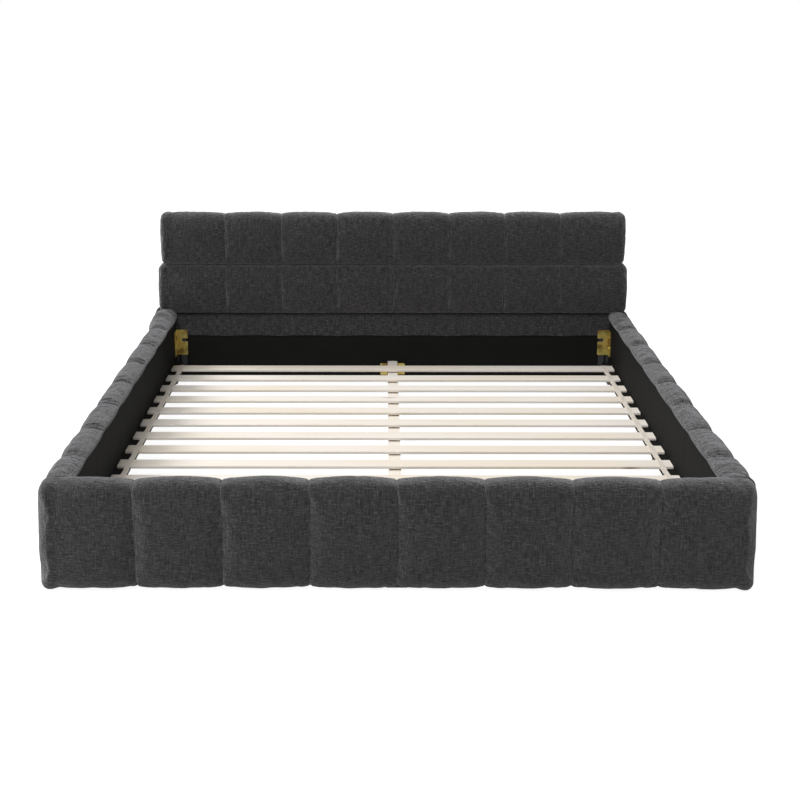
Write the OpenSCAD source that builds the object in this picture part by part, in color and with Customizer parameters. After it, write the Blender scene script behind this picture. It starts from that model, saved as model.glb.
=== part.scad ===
// Low upholstered platform bed with channelled pads, corner brackets and a slatted deck.
// X runs across the bed, +Y points to the headboard, +Z is up. The origin is on the floor
// in the middle of the bed. All sizes are in millimetres.

/* [Mattress] */
// Width of the mattress
mattress_w = 1930; // [1370:10:2030]
// Length of the mattress
mattress_l = 2032; // [1880:4:2132]
// Free room between the mattress and each side lining
side_room = 20; // [12:1:40]
// Free room left along the mattress, apart from the two pads
end_room = 33; // [20:1:80]

/* [Heights] */
// Height of the feet, which is how far the boards stand off the floor
foot_h = 30; // [22:1:32]
// Height of the top of the slats
deck_h = 130; // [122:1:168]
// Height of the top edge of the side boards
rail_board_top = 325; // [303:1:333]
// Height of the crest of the side pads
rail_crest = 352; // [345:1:354]
// Height of the top edge of the end board
end_board_top = 314; // [304:1:324]
// Height of the crest of the end pad
end_crest = 352; // [339:1:374]
// Height of the lower edge of the lower headboard roll
roll_bottom = 341; // [340:1:358]
// Height of the seam between the two headboard rolls
roll_split = 566; // [519:1:619]
// Height of the top of the headboard frame
head_frame_top = 777; // [739:1:799]
// Height of the crest of the top headboard roll
head_crest = 810; // [804:1:849]
// Height of the lower edge of the plain fabric strip
strip_bottom = 232; // [223:1:243]

/* [Boards] */
// Thickness of the side boards
rail_board_t = 23; // [20:1:28]
// Thickness of the end board
end_board_t = 25; // [20:1:30]
// Thickness of the headboard panel
panel_t = 15; // [12:1:18]
// Depth of the battens behind the headboard panel
batten_d = 42; // [35:1:50]
// Width of the battens behind the headboard panel
batten_w = 60; // [50:1:70]
// Half of the width of the headboard frame beyond the side linings
head_frame_over = 35; // [30:1:39]

/* [Pads] */
// Number of puffs on each pad
puffs = 8; // [6:1:10]
// How far the side pads reach out from their boards
rail_pad_t = 53; // [47:1:59]
// How far the side pads reach in over the linings
rail_lip = 8; // [4:1:13]
// Depth of the inner lip of the side pads below the board's top edge
rail_lip_drop = 8; // [4:1:16]
// Length of the two outer puffs of the end pad and of the top roll
outer_puff = 291; // [270:1:310]
// Length of the short puff of the side pads, next to the end pad
rail_end_puff = 222; // [200:1:268]
// How far the end pad reaches out from its board
end_pad_t = 52; // [44:1:60]
// How far the end pad reaches in over its lining
end_lip = 30; // [22:1:36]
// Depth of the inner lip of the end pad below the board's top edge
end_lip_drop = 14; // [8:1:20]
// How far the end pad stands out past the side pads
end_pad_over = 13; // [8:1:24]
// How far the headboard rolls stand out from the panel
roll_d = 50; // [40:1:60]
// How far the lower roll reaches past the headboard frame at each side
lower_roll_over = 38; // [30:1:44]
// How far the top roll reaches past the headboard frame at each side
top_roll_over = 22; // [15:1:30]
// Thickness of the padded covers on the headboard's lower side edges
side_cover_t = 30; // [20:1:36]
// Thickness of the fabric turned over on the back of the headboard
back_turn_t = 4.5; // [3:0.5:8]
// Width of the fabric turned over on the back of the headboard
back_turn_w = 45; // [30:1:60]
// Height of the lower edge of the side pads and the end pad
pad_bottom = 6; // [3:1:13]
// Depth of the sewn channels between two puffs
channel_d = 11; // [6:1:14]
// Corner radius of the pads
pad_r = 34; // [26:1:40]
// Corner radius of the side pads over their linings
rail_in_r = 16; // [12:1:20]
// Corner radius of the rolls where they turn over the back
back_r = 6; // [4:1:10]
// Extra swell in the middle of a pad's face
crown = 4; // [0:1:6]
// Rounding at the free ends of the end pad and the rolls
pad_end_r = 28; // [18:1:34]
// Rounding at the butted ends of the side pads
butt_end_r = 7; // [4:1:14]
// Thickness of the plain fabric strip
strip_t = 4; // [3:1:6]
// Number of shallow waves in the lower edge of the strip
strip_waves = 8; // [4:1:12]
// Rise of those waves
wave_rise = 4; // [0:1:12]

/* [Deck] */
// Width of a slat
slat_w = 70; // [50:1:80]
// Thickness of a slat
slat_t = 10; // [8:1:14]
// Room between the headboard panel and the first slat
first_slat_gap = 136; // [110:1:150]
// Room between the last slat and the end board
last_slat_gap = 67; // [50:1:100]
// Free play at each end of a slat
slat_play = 5; // [4:1:12]
// How far the ledges carry the slats
ledge_bearing = 28; // [18:1:38]
// Height of the ledge battens
ledge_h = 42; // [36:1:46]
// Width of the webbing tape
tape_w = 20; // [16:1:25]
// Thickness of the webbing tape
tape_t = 1.2; // [0.8:0.1:2]
// Sag of the tape between two slats
tape_sag = 3; // [0:0.5:5]
// Thickness of the black lining cloth
cloth_t = 1; // [0.6:0.1:1.5]

/* [Centre rail] */
// Width of the centre rail
spine_w = 43; // [38:1:50]
// Height of the centre rail's section
spine_h = 62; // [56:1:64]
// Free space between the unloaded slats and the centre rail
spine_drop = 5; // [3:1:8]
// Distance of the centre rail's joint from the middle of the bed
spine_joint = -37; // [-100:1:100]
// Open gap at that joint
spine_gap = 4; // [1:1:8]

/* [Hardware] */
// Thickness of the steel brackets and hangers
steel_t = 3; // [2:0.5:4]
// Height of a corner bracket
bracket_h = 117; // [107:1:127]
// Width of a corner bracket's flanges
bracket_w = 52; // [46:1:57]
// Height of a corner bracket's lower edge over the underside of the slats
bracket_over = 25; // [21:1:29]
// Height of the hook slot in a bracket
slot_h = 16; // [12:1:18]
// Depth of the hook slot in a bracket
slot_d = 27; // [19:1:29]
// Radius of a bracket bolt
bolt_r = 4; // [3:0.5:5]
// Radius of a wood screw
screw_r = 2.5; // [2:0.25:3]
// Length of the wood screws in the headboard and the centre rail
screw_l = 28; // [22:1:40]
// Width of a hanger's ears
ear_w = 31; // [26:1:36]
// Height of a hanger's ears
ear_h = 54; // [48:1:56]
// Depth of a hanger's seat
seat_d = 45; // [30:1:60]
// Width of the backing strips behind the brackets
backing_w = 26; // [20:1:32]
// Clearance round bolts, screws and studs
hole_play = 0.3; // [0.2:0.1:0.6]
// Clearance between soft pieces that meet
soft_play = 0.4; // [0.3:0.1:1]

/* [Hidden] */
$fn = 48;
slats = 13;
slat_names = [for (i = [1:slats]) str("slat_", i < 10 ? "0" : "", i)];

// Share of a puff's length over which its crest runs level
crest_share = 0.4;
// Power of the curve that draws a puff in towards a channel
channel_power = 1.6;
// Rise of the shallow dome on the ends of a pad
end_dome = 2;

// Places across the bed: the lining's face, then the side board's two faces and the pad
lining_x = mattress_w / 2 + side_room;
board_x = lining_x + cloth_t;
board_out_x = board_x + rail_board_t;
pad_out_x = board_out_x + rail_pad_t;
pad_in_x = board_x - rail_lip;
head_frame_x = lining_x + head_frame_over;
end_pad_x = pad_out_x + end_pad_over;
end_board_x = end_pad_x - end_pad_t / 2;

// Places along the bed: the two end pads' outer faces bound the whole length
inner_l = mattress_l + end_room + end_lip + roll_d;
head_depth = panel_t + batten_d + cloth_t + back_turn_t;
total_l = end_pad_t + end_board_t + inner_l + head_depth;
front_y = -total_l / 2;
end_board_front_y = front_y + end_pad_t;
end_board_y = end_board_front_y + end_board_t;
panel_y = end_board_y + inner_l;
frame_back_y = panel_y + panel_t + batten_d;
head_cloth_y = panel_y - cloth_t;
end_cloth_y = end_board_y + cloth_t;
strip_y = head_cloth_y - strip_t;
rail_start_y = end_board_y;
rail_end_y = strip_y;
rail_l = rail_end_y - rail_start_y;

// Heights of the deck and of what carries it
slat_z = deck_h - slat_t;
ledge_top = slat_z - cloth_t;
ledge_in_x = lining_x - slat_play - ledge_bearing;
spine_top = slat_z - spine_drop;
spine_bottom = spine_top - spine_h;
end_lip_z = end_board_top - end_lip_drop;
rail_lip_z = rail_board_top - rail_lip_drop;
slat_l = 2 * (lining_x - slat_play);
first_slat_y = panel_y - first_slat_gap;
slat_pitch = (inner_l - first_slat_gap - last_slat_gap - slat_w) / (slats - 1);

// Colours as the bed shows them
fabric_grey = [0.24, 0.24, 0.245];
cloth_black = [0.1, 0.1, 0.1];
pine = [0.9, 0.82, 0.68];
board_tan = [0.72, 0.6, 0.42];
zinc_yellow = [0.72, 0.6, 0.3];
plastic_black = [0.06, 0.06, 0.06];
backing_grey = [0.2, 0.21, 0.22];

// ---------------------------------------------------------------- channelled pads

// One quarter turn of a pad's outline round its corner, from angle a0
function corner(y, z, r, a0) = [for (a = [0:30:90]) [y + r * cos(a0 + a), z + r * sin(a0 + a)]];

// Outline of a pad between a front at y0, which is crowned, and a flat back at y1
function pad_outline(y0, y1, b, r, r_back) = let (middle = (y0 + r + y1 - r_back) / 2) concat(
    corner(y1 - r_back, b - r_back, r_back, 0),
    [[middle, b + crown]],
    corner(y0 + r, b - r, r, 90),
    [[y0 - crown, 0]],
    corner(y0 + r, r - b, r, 180),
    [[middle, -b - crown]],
    corner(y1 - r_back, r_back - b, r_back, 270));

// How far a puff is drawn in at the fraction u of its length
function draw_in(u) = channel_d * pow(max(0, abs(2 * u - 1) - crest_share) / (1 - crest_share),
    channel_power);

// Rounding at an end, as rows of distance along the pad, channel depth and inset all round
function end_round(r) = [for (a = [0:30:60]) [end_dome + r * (1 - cos(a)), 0, r * (1 - sin(a))]];

// Stations along a pad whose seams lie at the distances s, with ends rounded by r
function stations(s, r) = let (n = len(s) - 1) concat(
    end_round(r),
    [for (i = [0:n - 1]) for (u = [0, 0.1, 0.3, 0.7, 0.9])
        let (x = s[i] + u * (s[i + 1] - s[i]))
        if (x > r && x < s[n] - r) [x, draw_in(u), 0]],
    [for (k = [2:-1:0]) [s[n] - end_round(r)[k][0], 0, end_round(r)[k][2]]]);

// A closed bolster along X with half sizes a and b: one outline per station, skinned with
// triangles, and a shallow dome on each end. The channels are drawn in at its front, top and
// bottom, and its back stays flat.
module bolster(s, a, b, r_end, r_back) {
    st = stations(s, r_end);
    rings = [for (p = st)
        pad_outline(crown + p[1] + p[2] - a, a - p[2], b - crown - p[1] - p[2], pad_r, r_back)];
    n = len(rings[0]);
    m = len(rings);
    skin = [for (i = [0:m - 1]) for (q = rings[i]) [st[i][0], q[0], q[1]]];
    points = concat(skin, [[s[0], 0, 0], [s[len(s) - 1], 0, 0]]);
    sides = [for (i = [0:m - 2]) for (j = [0:n - 1])
        let (k = (j + 1) % n)
        each [[i * n + j, (i + 1) * n + j, (i + 1) * n + k], [i * n + j, (i + 1) * n + k, i * n + k]]];
    first_cap = [for (j = [0:n - 1]) [m * n, j, (j + 1) % n]];
    last_cap = [for (j = [0:n - 1]) [m * n + 1, (m - 1) * n + (j + 1) % n, (m - 1) * n + j]];
    polyhedron(points, concat(sides, first_cap, last_cap));
}

// Seams of a pad of half length h: even ones between the places -w and w, from the middle
function inner_seams(h, w) = concat([0],
    [for (i = [0:puffs - 2]) h - w + 2 * w * i / (puffs - 2)], [2 * h]);

// Seams of a side pad: a short puff at the end board, then even ones up to the headboard
function rail_seams() = let (step = (rail_l - rail_end_puff) / (puffs - 1))
    concat([0], [for (i = [0:puffs - 1]) rail_end_puff + i * step]);

// Box between two corners
module block(low, high) {
    translate(low) cube(high - low);
}

module end_pad() {
    a = (end_pad_t + end_board_t + end_lip) / 2;
    b = (end_crest - pad_bottom) / 2;
    under = -1;
    color(fabric_grey) difference() {
        translate([-end_pad_x, front_y + a, pad_bottom + b])
            bolster(inner_seams(end_pad_x, end_pad_x - outer_puff), a, b, pad_end_r, pad_r);
        block([-end_board_x, end_board_front_y, under], [end_board_x, end_board_y, end_board_top]);
        block([-2 * end_pad_x, end_board_y, under], [2 * end_pad_x, 0, end_lip_z]);
        for (side = [-1, 1])
            translate([side * (end_pad_x + pad_in_x - soft_play), end_board_y + end_pad_x - soft_play, 0])
                cube([2 * end_pad_x, 2 * end_pad_x, 3 * end_crest], center = true);
    }
}

// Side pad on the right, notched under the lower roll; the left one is its mirror image
module side_pad() {
    a = (rail_lip + rail_board_t + rail_pad_t) / 2;
    b = (rail_crest - pad_bottom) / 2;
    under = -1;
    color(fabric_grey) difference() {
        translate([pad_out_x - a, rail_start_y + soft_play, pad_bottom + b])
            rotate([0, 0, 90])
                bolster(rail_seams() * (1 - 2 * soft_play / rail_l), a, b, butt_end_r, rail_in_r);
        block([board_x, rail_start_y - 1, under], [board_out_x, rail_end_y + 1, rail_board_top]);
        block([0, rail_start_y - 1, under], [board_x, rail_end_y + 1, rail_lip_z]);
        block([0, panel_y - roll_d - soft_play, roll_bottom - soft_play],
            [2 * pad_out_x, rail_end_y + 1, 2 * rail_crest]);
    }
}

// A headboard roll between two heights that reaches past the frame and turns over the back
module roll(z_low, z_high, over, frame_top) {
    a = (roll_d + head_depth) / 2;
    b = (z_high - z_low) / 2;
    half = head_frame_x + over;
    last_seam = head_frame_x + top_roll_over - outer_puff;
    color(fabric_grey) difference() {
        translate([-half, panel_y - roll_d + a, z_low + b])
            bolster(inner_seams(half, last_seam), a, b, pad_end_r, back_r);
        block([-head_frame_x, panel_y, 0], [head_frame_x, frame_back_y + cloth_t, frame_top]);
        block([back_turn_w - head_frame_x, panel_y, 0],
            [head_frame_x - back_turn_w, 2 * panel_y, frame_top - back_turn_w]);
    }
}

module headboard_lower_roll() {
    roll(roll_bottom, roll_split - soft_play, lower_roll_over, head_crest);
}

module headboard_top_roll() {
    roll(roll_split, head_crest, top_roll_over, head_frame_top);
}

// ---------------------------------------------------------------- headboard

// Screws of a bracket, from its free edge, its lower edge and its upper edge
bracket_screw_in = 19;
bracket_screw_up = 16;
bracket_screw_down = 23;
bracket_z = slat_z + bracket_over;
bracket_screw_x = lining_x - bracket_w + bracket_screw_in;
bracket_screw_zs = [bracket_z + bracket_screw_up, bracket_z + bracket_h - bracket_screw_down];

// Screws of a hanger, from the upper and the lower edge of its ears
ear_margin = 7;
hanger_hole_x = spine_w / 2 + hole_play + steel_t + ear_w / 2;
hanger_z = spine_bottom - steel_t;
hanger_hole_zs = [hanger_z + ear_margin, hanger_z + ear_h - ear_margin];

// The bottom batten lies behind the hanger's ears, where it takes their screws
low_batten_z = hanger_z + (ear_h - batten_w) / 2;

// Screws in the end board stop this short of its outer face
screw_tip_play = 1;
end_screw_l = steel_t + cloth_t + end_board_t - screw_tip_play;

// Screw holes through whatever carries the brackets and hangers at an end
module end_screw_holes(y, length) {
    for (side = [-1, 1]) {
        for (z = bracket_screw_zs)
            translate([side * bracket_screw_x, y, z])
                rotate([90, 0, 0]) cylinder(h = length, r = screw_r + hole_play, center = true);
        for (z = hanger_hole_zs)
            translate([side * hanger_hole_x, y, z])
                rotate([90, 0, 0]) cylinder(h = length, r = screw_r + hole_play, center = true);
    }
}

module headboard_panel() {
    color(board_tan) difference() {
        block([-head_frame_x, panel_y, foot_h], [head_frame_x, panel_y + panel_t, head_frame_top]);
        end_screw_holes(panel_y, 2 * screw_l);
    }
}

module headboard_stile(side) {
    x = side * (head_frame_x - batten_w / 2);
    y = panel_y + panel_t + batten_d / 2;
    color(pine) difference() {
        translate([x, y, (foot_h + head_frame_top) / 2])
            cube([batten_w, batten_d, head_frame_top - foot_h], center = true);
        end_screw_holes(panel_y, 2 * screw_l);
    }
}

module headboard_batten(z_low) {
    half = head_frame_x - batten_w;
    color(pine) difference() {
        block([-half, panel_y + panel_t, z_low], [half, frame_back_y, z_low + batten_w]);
        end_screw_holes(panel_y, 2 * screw_l);
    }
}

module headboard_back_cloth() {
    margin = 1;
    color(cloth_black)
        block([-head_frame_x + margin, frame_back_y, foot_h + margin],
            [head_frame_x - margin, frame_back_y + cloth_t, head_frame_top - margin]);
}

module headboard_front_cloth() {
    color(cloth_black) difference() {
        block([-head_frame_x, head_cloth_y, foot_h], [head_frame_x, panel_y, roll_bottom - soft_play]);
        end_screw_holes(panel_y, 2 * screw_l);
    }
}

// The plain strip has a wavy lower edge between the side pads
module headboard_strip() {
    steps = 6 * strip_waves;
    width = 2 * head_frame_x;
    wave = [for (i = [0:steps]) [-head_frame_x + width * i / steps,
        strip_bottom + wave_rise * abs(sin(180 * strip_waves * i / steps))]];
    top = roll_bottom - soft_play;
    color(fabric_grey) difference() {
        translate([0, head_cloth_y, 0]) rotate([90, 0, 0]) linear_extrude(strip_t)
            polygon(concat(wave, [[head_frame_x, top], [-head_frame_x, top]]));
        end_screw_holes(panel_y, 2 * screw_l);
    }
}

// Padded fabric over the headboard's edge below the rolls, turned over the back like them
module headboard_side_cover(side) {
    low = foot_h / 2;
    depth = total_l / 2 - strip_y;
    cover_r = depth / 4;
    mirror([side < 0 ? 1 : 0, 0, 0])
        color(fabric_grey) difference() {
            translate([head_frame_x, strip_y + depth / 2, low])
                linear_extrude(roll_bottom - soft_play - low) {
                    rounded_plate(2 * side_cover_t, depth, cover_r);
                    translate([-back_turn_w, -depth / 2]) square([back_turn_w, depth]);
                }
            block([0, 0, 0], [head_frame_x, frame_back_y + cloth_t, head_crest]);
        }
}

// ---------------------------------------------------------------- side and end boards

// Bolts that join the brackets to the side boards, from a bracket's lower and upper edge
bolt_up = 38;
bolt_down = 34;
bolt_in = 24;
bolt_zs = [bracket_z + bolt_up, bracket_z + bracket_h - bolt_down];
backing_t = strip_t;
head_bracket_y = head_cloth_y - backing_t;
foot_bracket_y = end_cloth_y + backing_t;
bolt_ys = [head_bracket_y - bolt_in, foot_bracket_y + bolt_in];

// Room beyond the two ends of a ledge
ledge_foot_gap = 20;
ledge_head_gap = 40;
ledge_start_y = end_cloth_y + ledge_foot_gap;
ledge_end_y = head_cloth_y - ledge_head_gap;
ledge_screw_count = 7;
ledge_screw_ys = [for (i = [0:ledge_screw_count - 1])
    ledge_start_y + (i + 0.5) * (ledge_end_y - ledge_start_y) / ledge_screw_count];
ledge_z = ledge_top - ledge_h;
countersink = 3;
// How deep a ledge screw grips its side board, as a share of the board
ledge_screw_grip = 0.6;

// Holes that run across the bed on the right side, for the bolts and for the ledge screws
module cross_holes() {
    for (y = bolt_ys) for (z = bolt_zs)
        translate([board_x, y, z]) rotate([0, 90, 0])
            cylinder(h = 4 * rail_board_t, r = bolt_r + hole_play, center = true);
    for (y = ledge_screw_ys)
        translate([board_x, y, ledge_z + ledge_h / 2]) rotate([0, 90, 0])
            cylinder(h = 6 * rail_board_t, r = screw_r + hole_play, center = true);
}

module side_board() {
    color(board_tan) difference() {
        block([board_x, rail_start_y, foot_h], [board_out_x, rail_end_y, rail_board_top]);
        cross_holes();
    }
}

// Countersinks of the ledge screws
module ledge_countersinks() {
    for (y = ledge_screw_ys)
        translate([ledge_in_x, y, ledge_z + ledge_h / 2]) rotate([0, 90, 0])
            cylinder(h = 2 * countersink, r = 2 * screw_r + hole_play, center = true);
}

// Extrudes an outline in X and Z along the bed between two places
module along(y_low, y_high) {
    translate([0, y_high, 0]) rotate([90, 0, 0]) linear_extrude(y_high - y_low) children();
}

module ledge() {
    chamfer = 3;
    color(pine) difference() {
        along(ledge_start_y, ledge_end_y)
            polygon([[lining_x, ledge_z], [lining_x, ledge_top], [ledge_in_x, ledge_top],
                [ledge_in_x, ledge_z + chamfer], [ledge_in_x + chamfer, ledge_z]]);
        cross_holes();
        ledge_countersinks();
    }
}

// Cloth over the whole inner face of the board and over the top and front of the ledge
module side_lining() {
    hem = 6;
    top = rail_lip_z - soft_play;
    turn = ledge_z + hem;
    front_x = ledge_in_x - cloth_t;
    color(cloth_black) difference() {
        union() {
            block([lining_x, end_cloth_y, foot_h], [board_x, rail_end_y, top]);
            along(ledge_start_y, ledge_end_y)
                polygon([[lining_x, slat_z], [front_x, slat_z], [front_x, turn], [ledge_in_x, turn],
                    [ledge_in_x, ledge_top], [lining_x, ledge_top]]);
        }
        cross_holes();
        ledge_countersinks();
    }
}

module end_board() {
    color(board_tan) difference() {
        block([-end_board_x, end_board_front_y, foot_h], [end_board_x, end_board_y, end_board_top]);
        end_screw_holes(end_board_y, 3 * end_board_t);
    }
}

module end_lining() {
    color(cloth_black) difference() {
        block([-lining_x, end_board_y, foot_h], [lining_x, end_cloth_y, end_lip_z - soft_play]);
        end_screw_holes(end_board_y, 3 * end_board_t);
    }
}

// ---------------------------------------------------------------- slatted deck

function slat_back(i) = first_slat_y - (i - 1) * slat_pitch;

// Slat number i, with its long edges eased
module slat(i) {
    ease = 1.5;
    y = slat_back(i) - slat_w;
    color(pine) translate([-slat_l / 2, y, slat_z]) rotate([90, 0, 90]) linear_extrude(slat_l)
        polygon([[ease, 0], [slat_w - ease, 0], [slat_w, ease], [slat_w, slat_t - ease],
            [slat_w - ease, slat_t], [ease, slat_t], [0, slat_t - ease], [0, ease]]);
}

// Webbing stapled to the top of every slat, which hangs a little between two of them
module slat_tape(side) {
    gap = slat_pitch - slat_w;
    span_steps = 6;
    under_edge = [for (i = [slats:-1:1]) each concat(
        [[slat_back(i) - slat_w, 0], [slat_back(i), 0]],
        i == 1 ? [] : [for (k = [1:span_steps - 1])
            [slat_back(i) + gap * k / span_steps, -tape_sag * sin(180 * k / span_steps)]])];
    upper_edge = [for (k = [len(under_edge) - 1:-1:0]) under_edge[k] + [0, tape_t]];
    x = side > 0 ? ledge_in_x - cloth_t - tape_w : -ledge_in_x + cloth_t;
    color([0.85, 0.81, 0.75]) translate([x, 0, deck_h]) rotate([90, 0, 90])
        linear_extrude(tape_w) polygon(concat(under_edge, upper_edge));
}

// ---------------------------------------------------------------- centre rail

spine_end_play = 1;
spine_head_y = head_cloth_y - steel_t - spine_end_play;
spine_foot_y = end_cloth_y + steel_t + spine_end_play;
splice_l = 200;
splice_in = 1.5;
splice_corner_r = 6;
splice_screw_offsets = [-75, -30, 30, 75];
leg_ys = [(spine_head_y + spine_joint) / 2, spine_joint, (spine_foot_y + spine_joint) / 2];
stud_r = 5;
stud_h = 22;
leg_in = 2;

// Holes in the centre rail for the splice screws and for the studs of the legs
module spine_holes() {
    for (k = [0, 2])
        translate([0, leg_ys[k], spine_bottom])
            cylinder(h = 2 * (stud_h + 1), r = stud_r + hole_play, center = true);
    for (offset = splice_screw_offsets)
        translate([0, spine_joint + offset, spine_bottom])
            cylinder(h = 2 * screw_l, r = screw_r + hole_play, center = true);
}

module centre_rail(y_low, y_high) {
    color(pine) difference() {
        block([-spine_w / 2, y_low, spine_bottom], [spine_w / 2, y_high, spine_top]);
        spine_holes();
    }
}

module centre_splice_plate() {
    width = spine_w - 2 * splice_in;
    color(zinc_yellow) difference() {
        translate([0, spine_joint, spine_bottom - steel_t]) linear_extrude(steel_t)
            rounded_plate(width, splice_l, splice_corner_r);
        spine_holes();
    }
}

// Plate outline with rounded corners, centred
module rounded_plate(w, l, r) {
    square([w - 2 * r, l], center = true);
    square([w, l - 2 * r], center = true);
    for (x = [r - w / 2, w / 2 - r]) for (y = [r - l / 2, l / 2 - r])
        translate([x, y]) circle(r);
}

// Folded hanger at the headboard: a seat under the rail, two cheeks and two ears
module hanger_shape() {
    in_x = spine_w / 2 + hole_play;
    out_x = in_x + steel_t;
    ear_r = 6;
    difference() {
        union() {
            block([-out_x, -seat_d, 0], [out_x, 0, steel_t]);
            for (side = [-1, 1]) {
                translate([side > 0 ? in_x : -out_x, -seat_d, 0]) cube([steel_t, seat_d, ear_h - ear_r]);
                translate([side * (out_x + ear_w / 2 - ear_r / 2), 0, ear_h / 2]) rotate([90, 0, 0])
                    linear_extrude(steel_t) rounded_plate(ear_w + ear_r, ear_h, ear_r);
            }
        }
        block([-in_x, -2 * seat_d, steel_t], [in_x, 1, 2 * ear_h]);
        for (side = [-1, 1]) for (z = hanger_hole_zs)
            translate([side * hanger_hole_x, 0, z - hanger_z]) rotate([90, 0, 0])
                cylinder(h = 3 * steel_t, r = screw_r + hole_play, center = true);
    }
}

module centre_hanger_head() {
    color(zinc_yellow) translate([0, head_cloth_y, hanger_z]) hanger_shape();
}

module centre_hanger_foot() {
    color(zinc_yellow) translate([0, end_cloth_y, hanger_z]) mirror([0, 1, 0]) hanger_shape();
}

// Turned leg with a wide foot, a waist and a head that meets the rail
module centre_leg(k) {
    top = k == 1 ? spine_bottom - steel_t : spine_bottom;
    r = spine_w / 2 - leg_in;
    waist = 3;
    hollow_r = 9;
    stud = k == 1 ? 0 : stud_h;
    color(plastic_black) translate([0, leg_ys[k], 0]) {
        rotate_extrude() difference() {
            square([r, top]);
            translate([r + hollow_r - waist, top / 2]) circle(hollow_r);
        }
        if (stud > 0) cylinder(h = top + stud, r = stud_r);
    }
}

// ---------------------------------------------------------------- brackets and fasteners

// Distance of the hook slot's middle from a bracket's upper edge
slot_down = 47;

// Right-hand bracket with its corner at the origin: one flange runs to -X, one to -Y
module bracket_shape() {
    edge_r = 5;
    difference() {
        union() {
            translate([-bracket_w / 2, 0, bracket_h / 2]) rotate([90, 0, 0])
                linear_extrude(steel_t) rounded_plate(bracket_w, bracket_h, edge_r);
            block([-2 * edge_r, -steel_t, 0], [0, 0, bracket_h]);
            translate([0, -bracket_w / 2, bracket_h / 2]) rotate([90, 0, -90])
                linear_extrude(steel_t) rounded_plate(bracket_w, bracket_h, edge_r);
            block([-steel_t, -2 * edge_r, 0], [0, 0, bracket_h]);
        }
        slot_z = bracket_h - slot_down;
        slot_r = slot_h / 2;
        translate([slot_d - slot_r - bracket_w, 0, slot_z]) rotate([90, 0, 0])
            cylinder(h = 3 * steel_t, r = slot_r, center = true);
        translate([-bracket_w - 1, -2 * steel_t, slot_z - slot_r])
            cube([slot_d - slot_r + 1, 3 * steel_t, slot_h]);
        for (z = bracket_screw_zs)
            translate([bracket_screw_x - lining_x, 0, z - bracket_z]) rotate([90, 0, 0])
                cylinder(h = 3 * steel_t, r = screw_r + hole_play, center = true);
        for (z = bolt_zs)
            translate([0, -bolt_in, z - bracket_z]) rotate([0, 90, 0])
                cylinder(h = 3 * steel_t, r = bolt_r + hole_play, center = true);
    }
}

module bracket(side, end) {
    mirror([side < 0 ? 1 : 0, 0, 0])
        color(zinc_yellow)
            if (end > 0) translate([lining_x, head_bracket_y, bracket_z]) bracket_shape();
            else translate([lining_x, foot_bracket_y, bracket_z]) mirror([0, 1, 0]) bracket_shape();
}

// Dark strips between the cloth and the brackets, which show below the brackets
module bracket_backing_strips() {
    drop = 48;
    low = bracket_z - drop;
    head_top = strip_bottom - 1;
    foot_top = bracket_z + bracket_h;
    color(backing_grey) difference() {
        for (side = [-1, 1]) translate([side * bracket_screw_x - backing_w / 2, 0, low]) {
            translate([0, head_bracket_y, 0]) cube([backing_w, backing_t, head_top - low]);
            translate([0, end_cloth_y, 0]) cube([backing_w, backing_t, foot_top - low]);
        }
        end_screw_holes(head_bracket_y, 2 * screw_l);
        end_screw_holes(end_cloth_y, 2 * screw_l);
    }
}

// Pan-head screw that points along +Y with its head's flat on the origin
module screw(length) {
    head_r = 2 * screw_r;
    head_t = screw_r;
    rotate([-90, 0, 0]) {
        cylinder(h = length, r = screw_r);
        translate([0, 0, -head_t]) cylinder(h = head_t, r = head_r);
    }
}

module bracket_screws() {
    color(zinc_yellow) for (side = [-1, 1]) for (z = bracket_screw_zs) {
        translate([side * bracket_screw_x, head_bracket_y - steel_t, z]) screw(screw_l);
        translate([side * bracket_screw_x, foot_bracket_y + steel_t, z])
            mirror([0, 1, 0]) screw(end_screw_l);
    }
}

// Bolts through the bracket into the side board, with a round socket in a wide head
module bracket_bolts() {
    head_r = 2 * bolt_r;
    head_t = bolt_r;
    socket_r = 0.6 * bolt_r;
    length = steel_t + cloth_t + rail_board_t - screw_tip_play;
    color(zinc_yellow) for (side = [-1, 1]) for (y = bolt_ys) for (z = bolt_zs)
        mirror([side < 0 ? 1 : 0, 0, 0]) translate([lining_x - steel_t, y, z]) rotate([0, 90, 0]) {
            cylinder(h = length, r = bolt_r);
            difference() {
                translate([0, 0, -head_t]) cylinder(h = head_t, r = head_r);
                translate([0, 0, -head_t - 1]) cylinder(h = head_t / 2 + 1, r = socket_r);
            }
        }
}

// Countersunk screws that hold the ledges to the side boards
module ledge_screws() {
    reach = lining_x - ledge_in_x + rail_board_t * ledge_screw_grip;
    color(zinc_yellow) for (side = [-1, 1]) for (y = ledge_screw_ys)
        mirror([side < 0 ? 1 : 0, 0, 0])
            translate([ledge_in_x, y, ledge_z + ledge_h / 2]) rotate([0, 90, 0]) {
                cylinder(h = reach, r = screw_r);
                cylinder(h = countersink, r = 2 * screw_r);
            }
}

// Screws of the two hangers and of the splice plate
module centre_rail_screws() {
    color(zinc_yellow) {
        for (side = [-1, 1]) for (z = hanger_hole_zs) {
            translate([side * hanger_hole_x, head_cloth_y - steel_t, z]) screw(screw_l);
            translate([side * hanger_hole_x, end_cloth_y + steel_t, z])
                mirror([0, 1, 0]) screw(end_screw_l);
        }
        for (offset = splice_screw_offsets)
            translate([0, spine_joint + offset, spine_bottom - steel_t])
                rotate([90, 0, 0]) screw(screw_l);
    }
}

// ---------------------------------------------------------------- feet

foot_w = min(rail_board_t, end_board_t) - 1;
foot_l = 70;
foot_in = 120;
foot_x = head_frame_x - foot_in;

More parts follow.
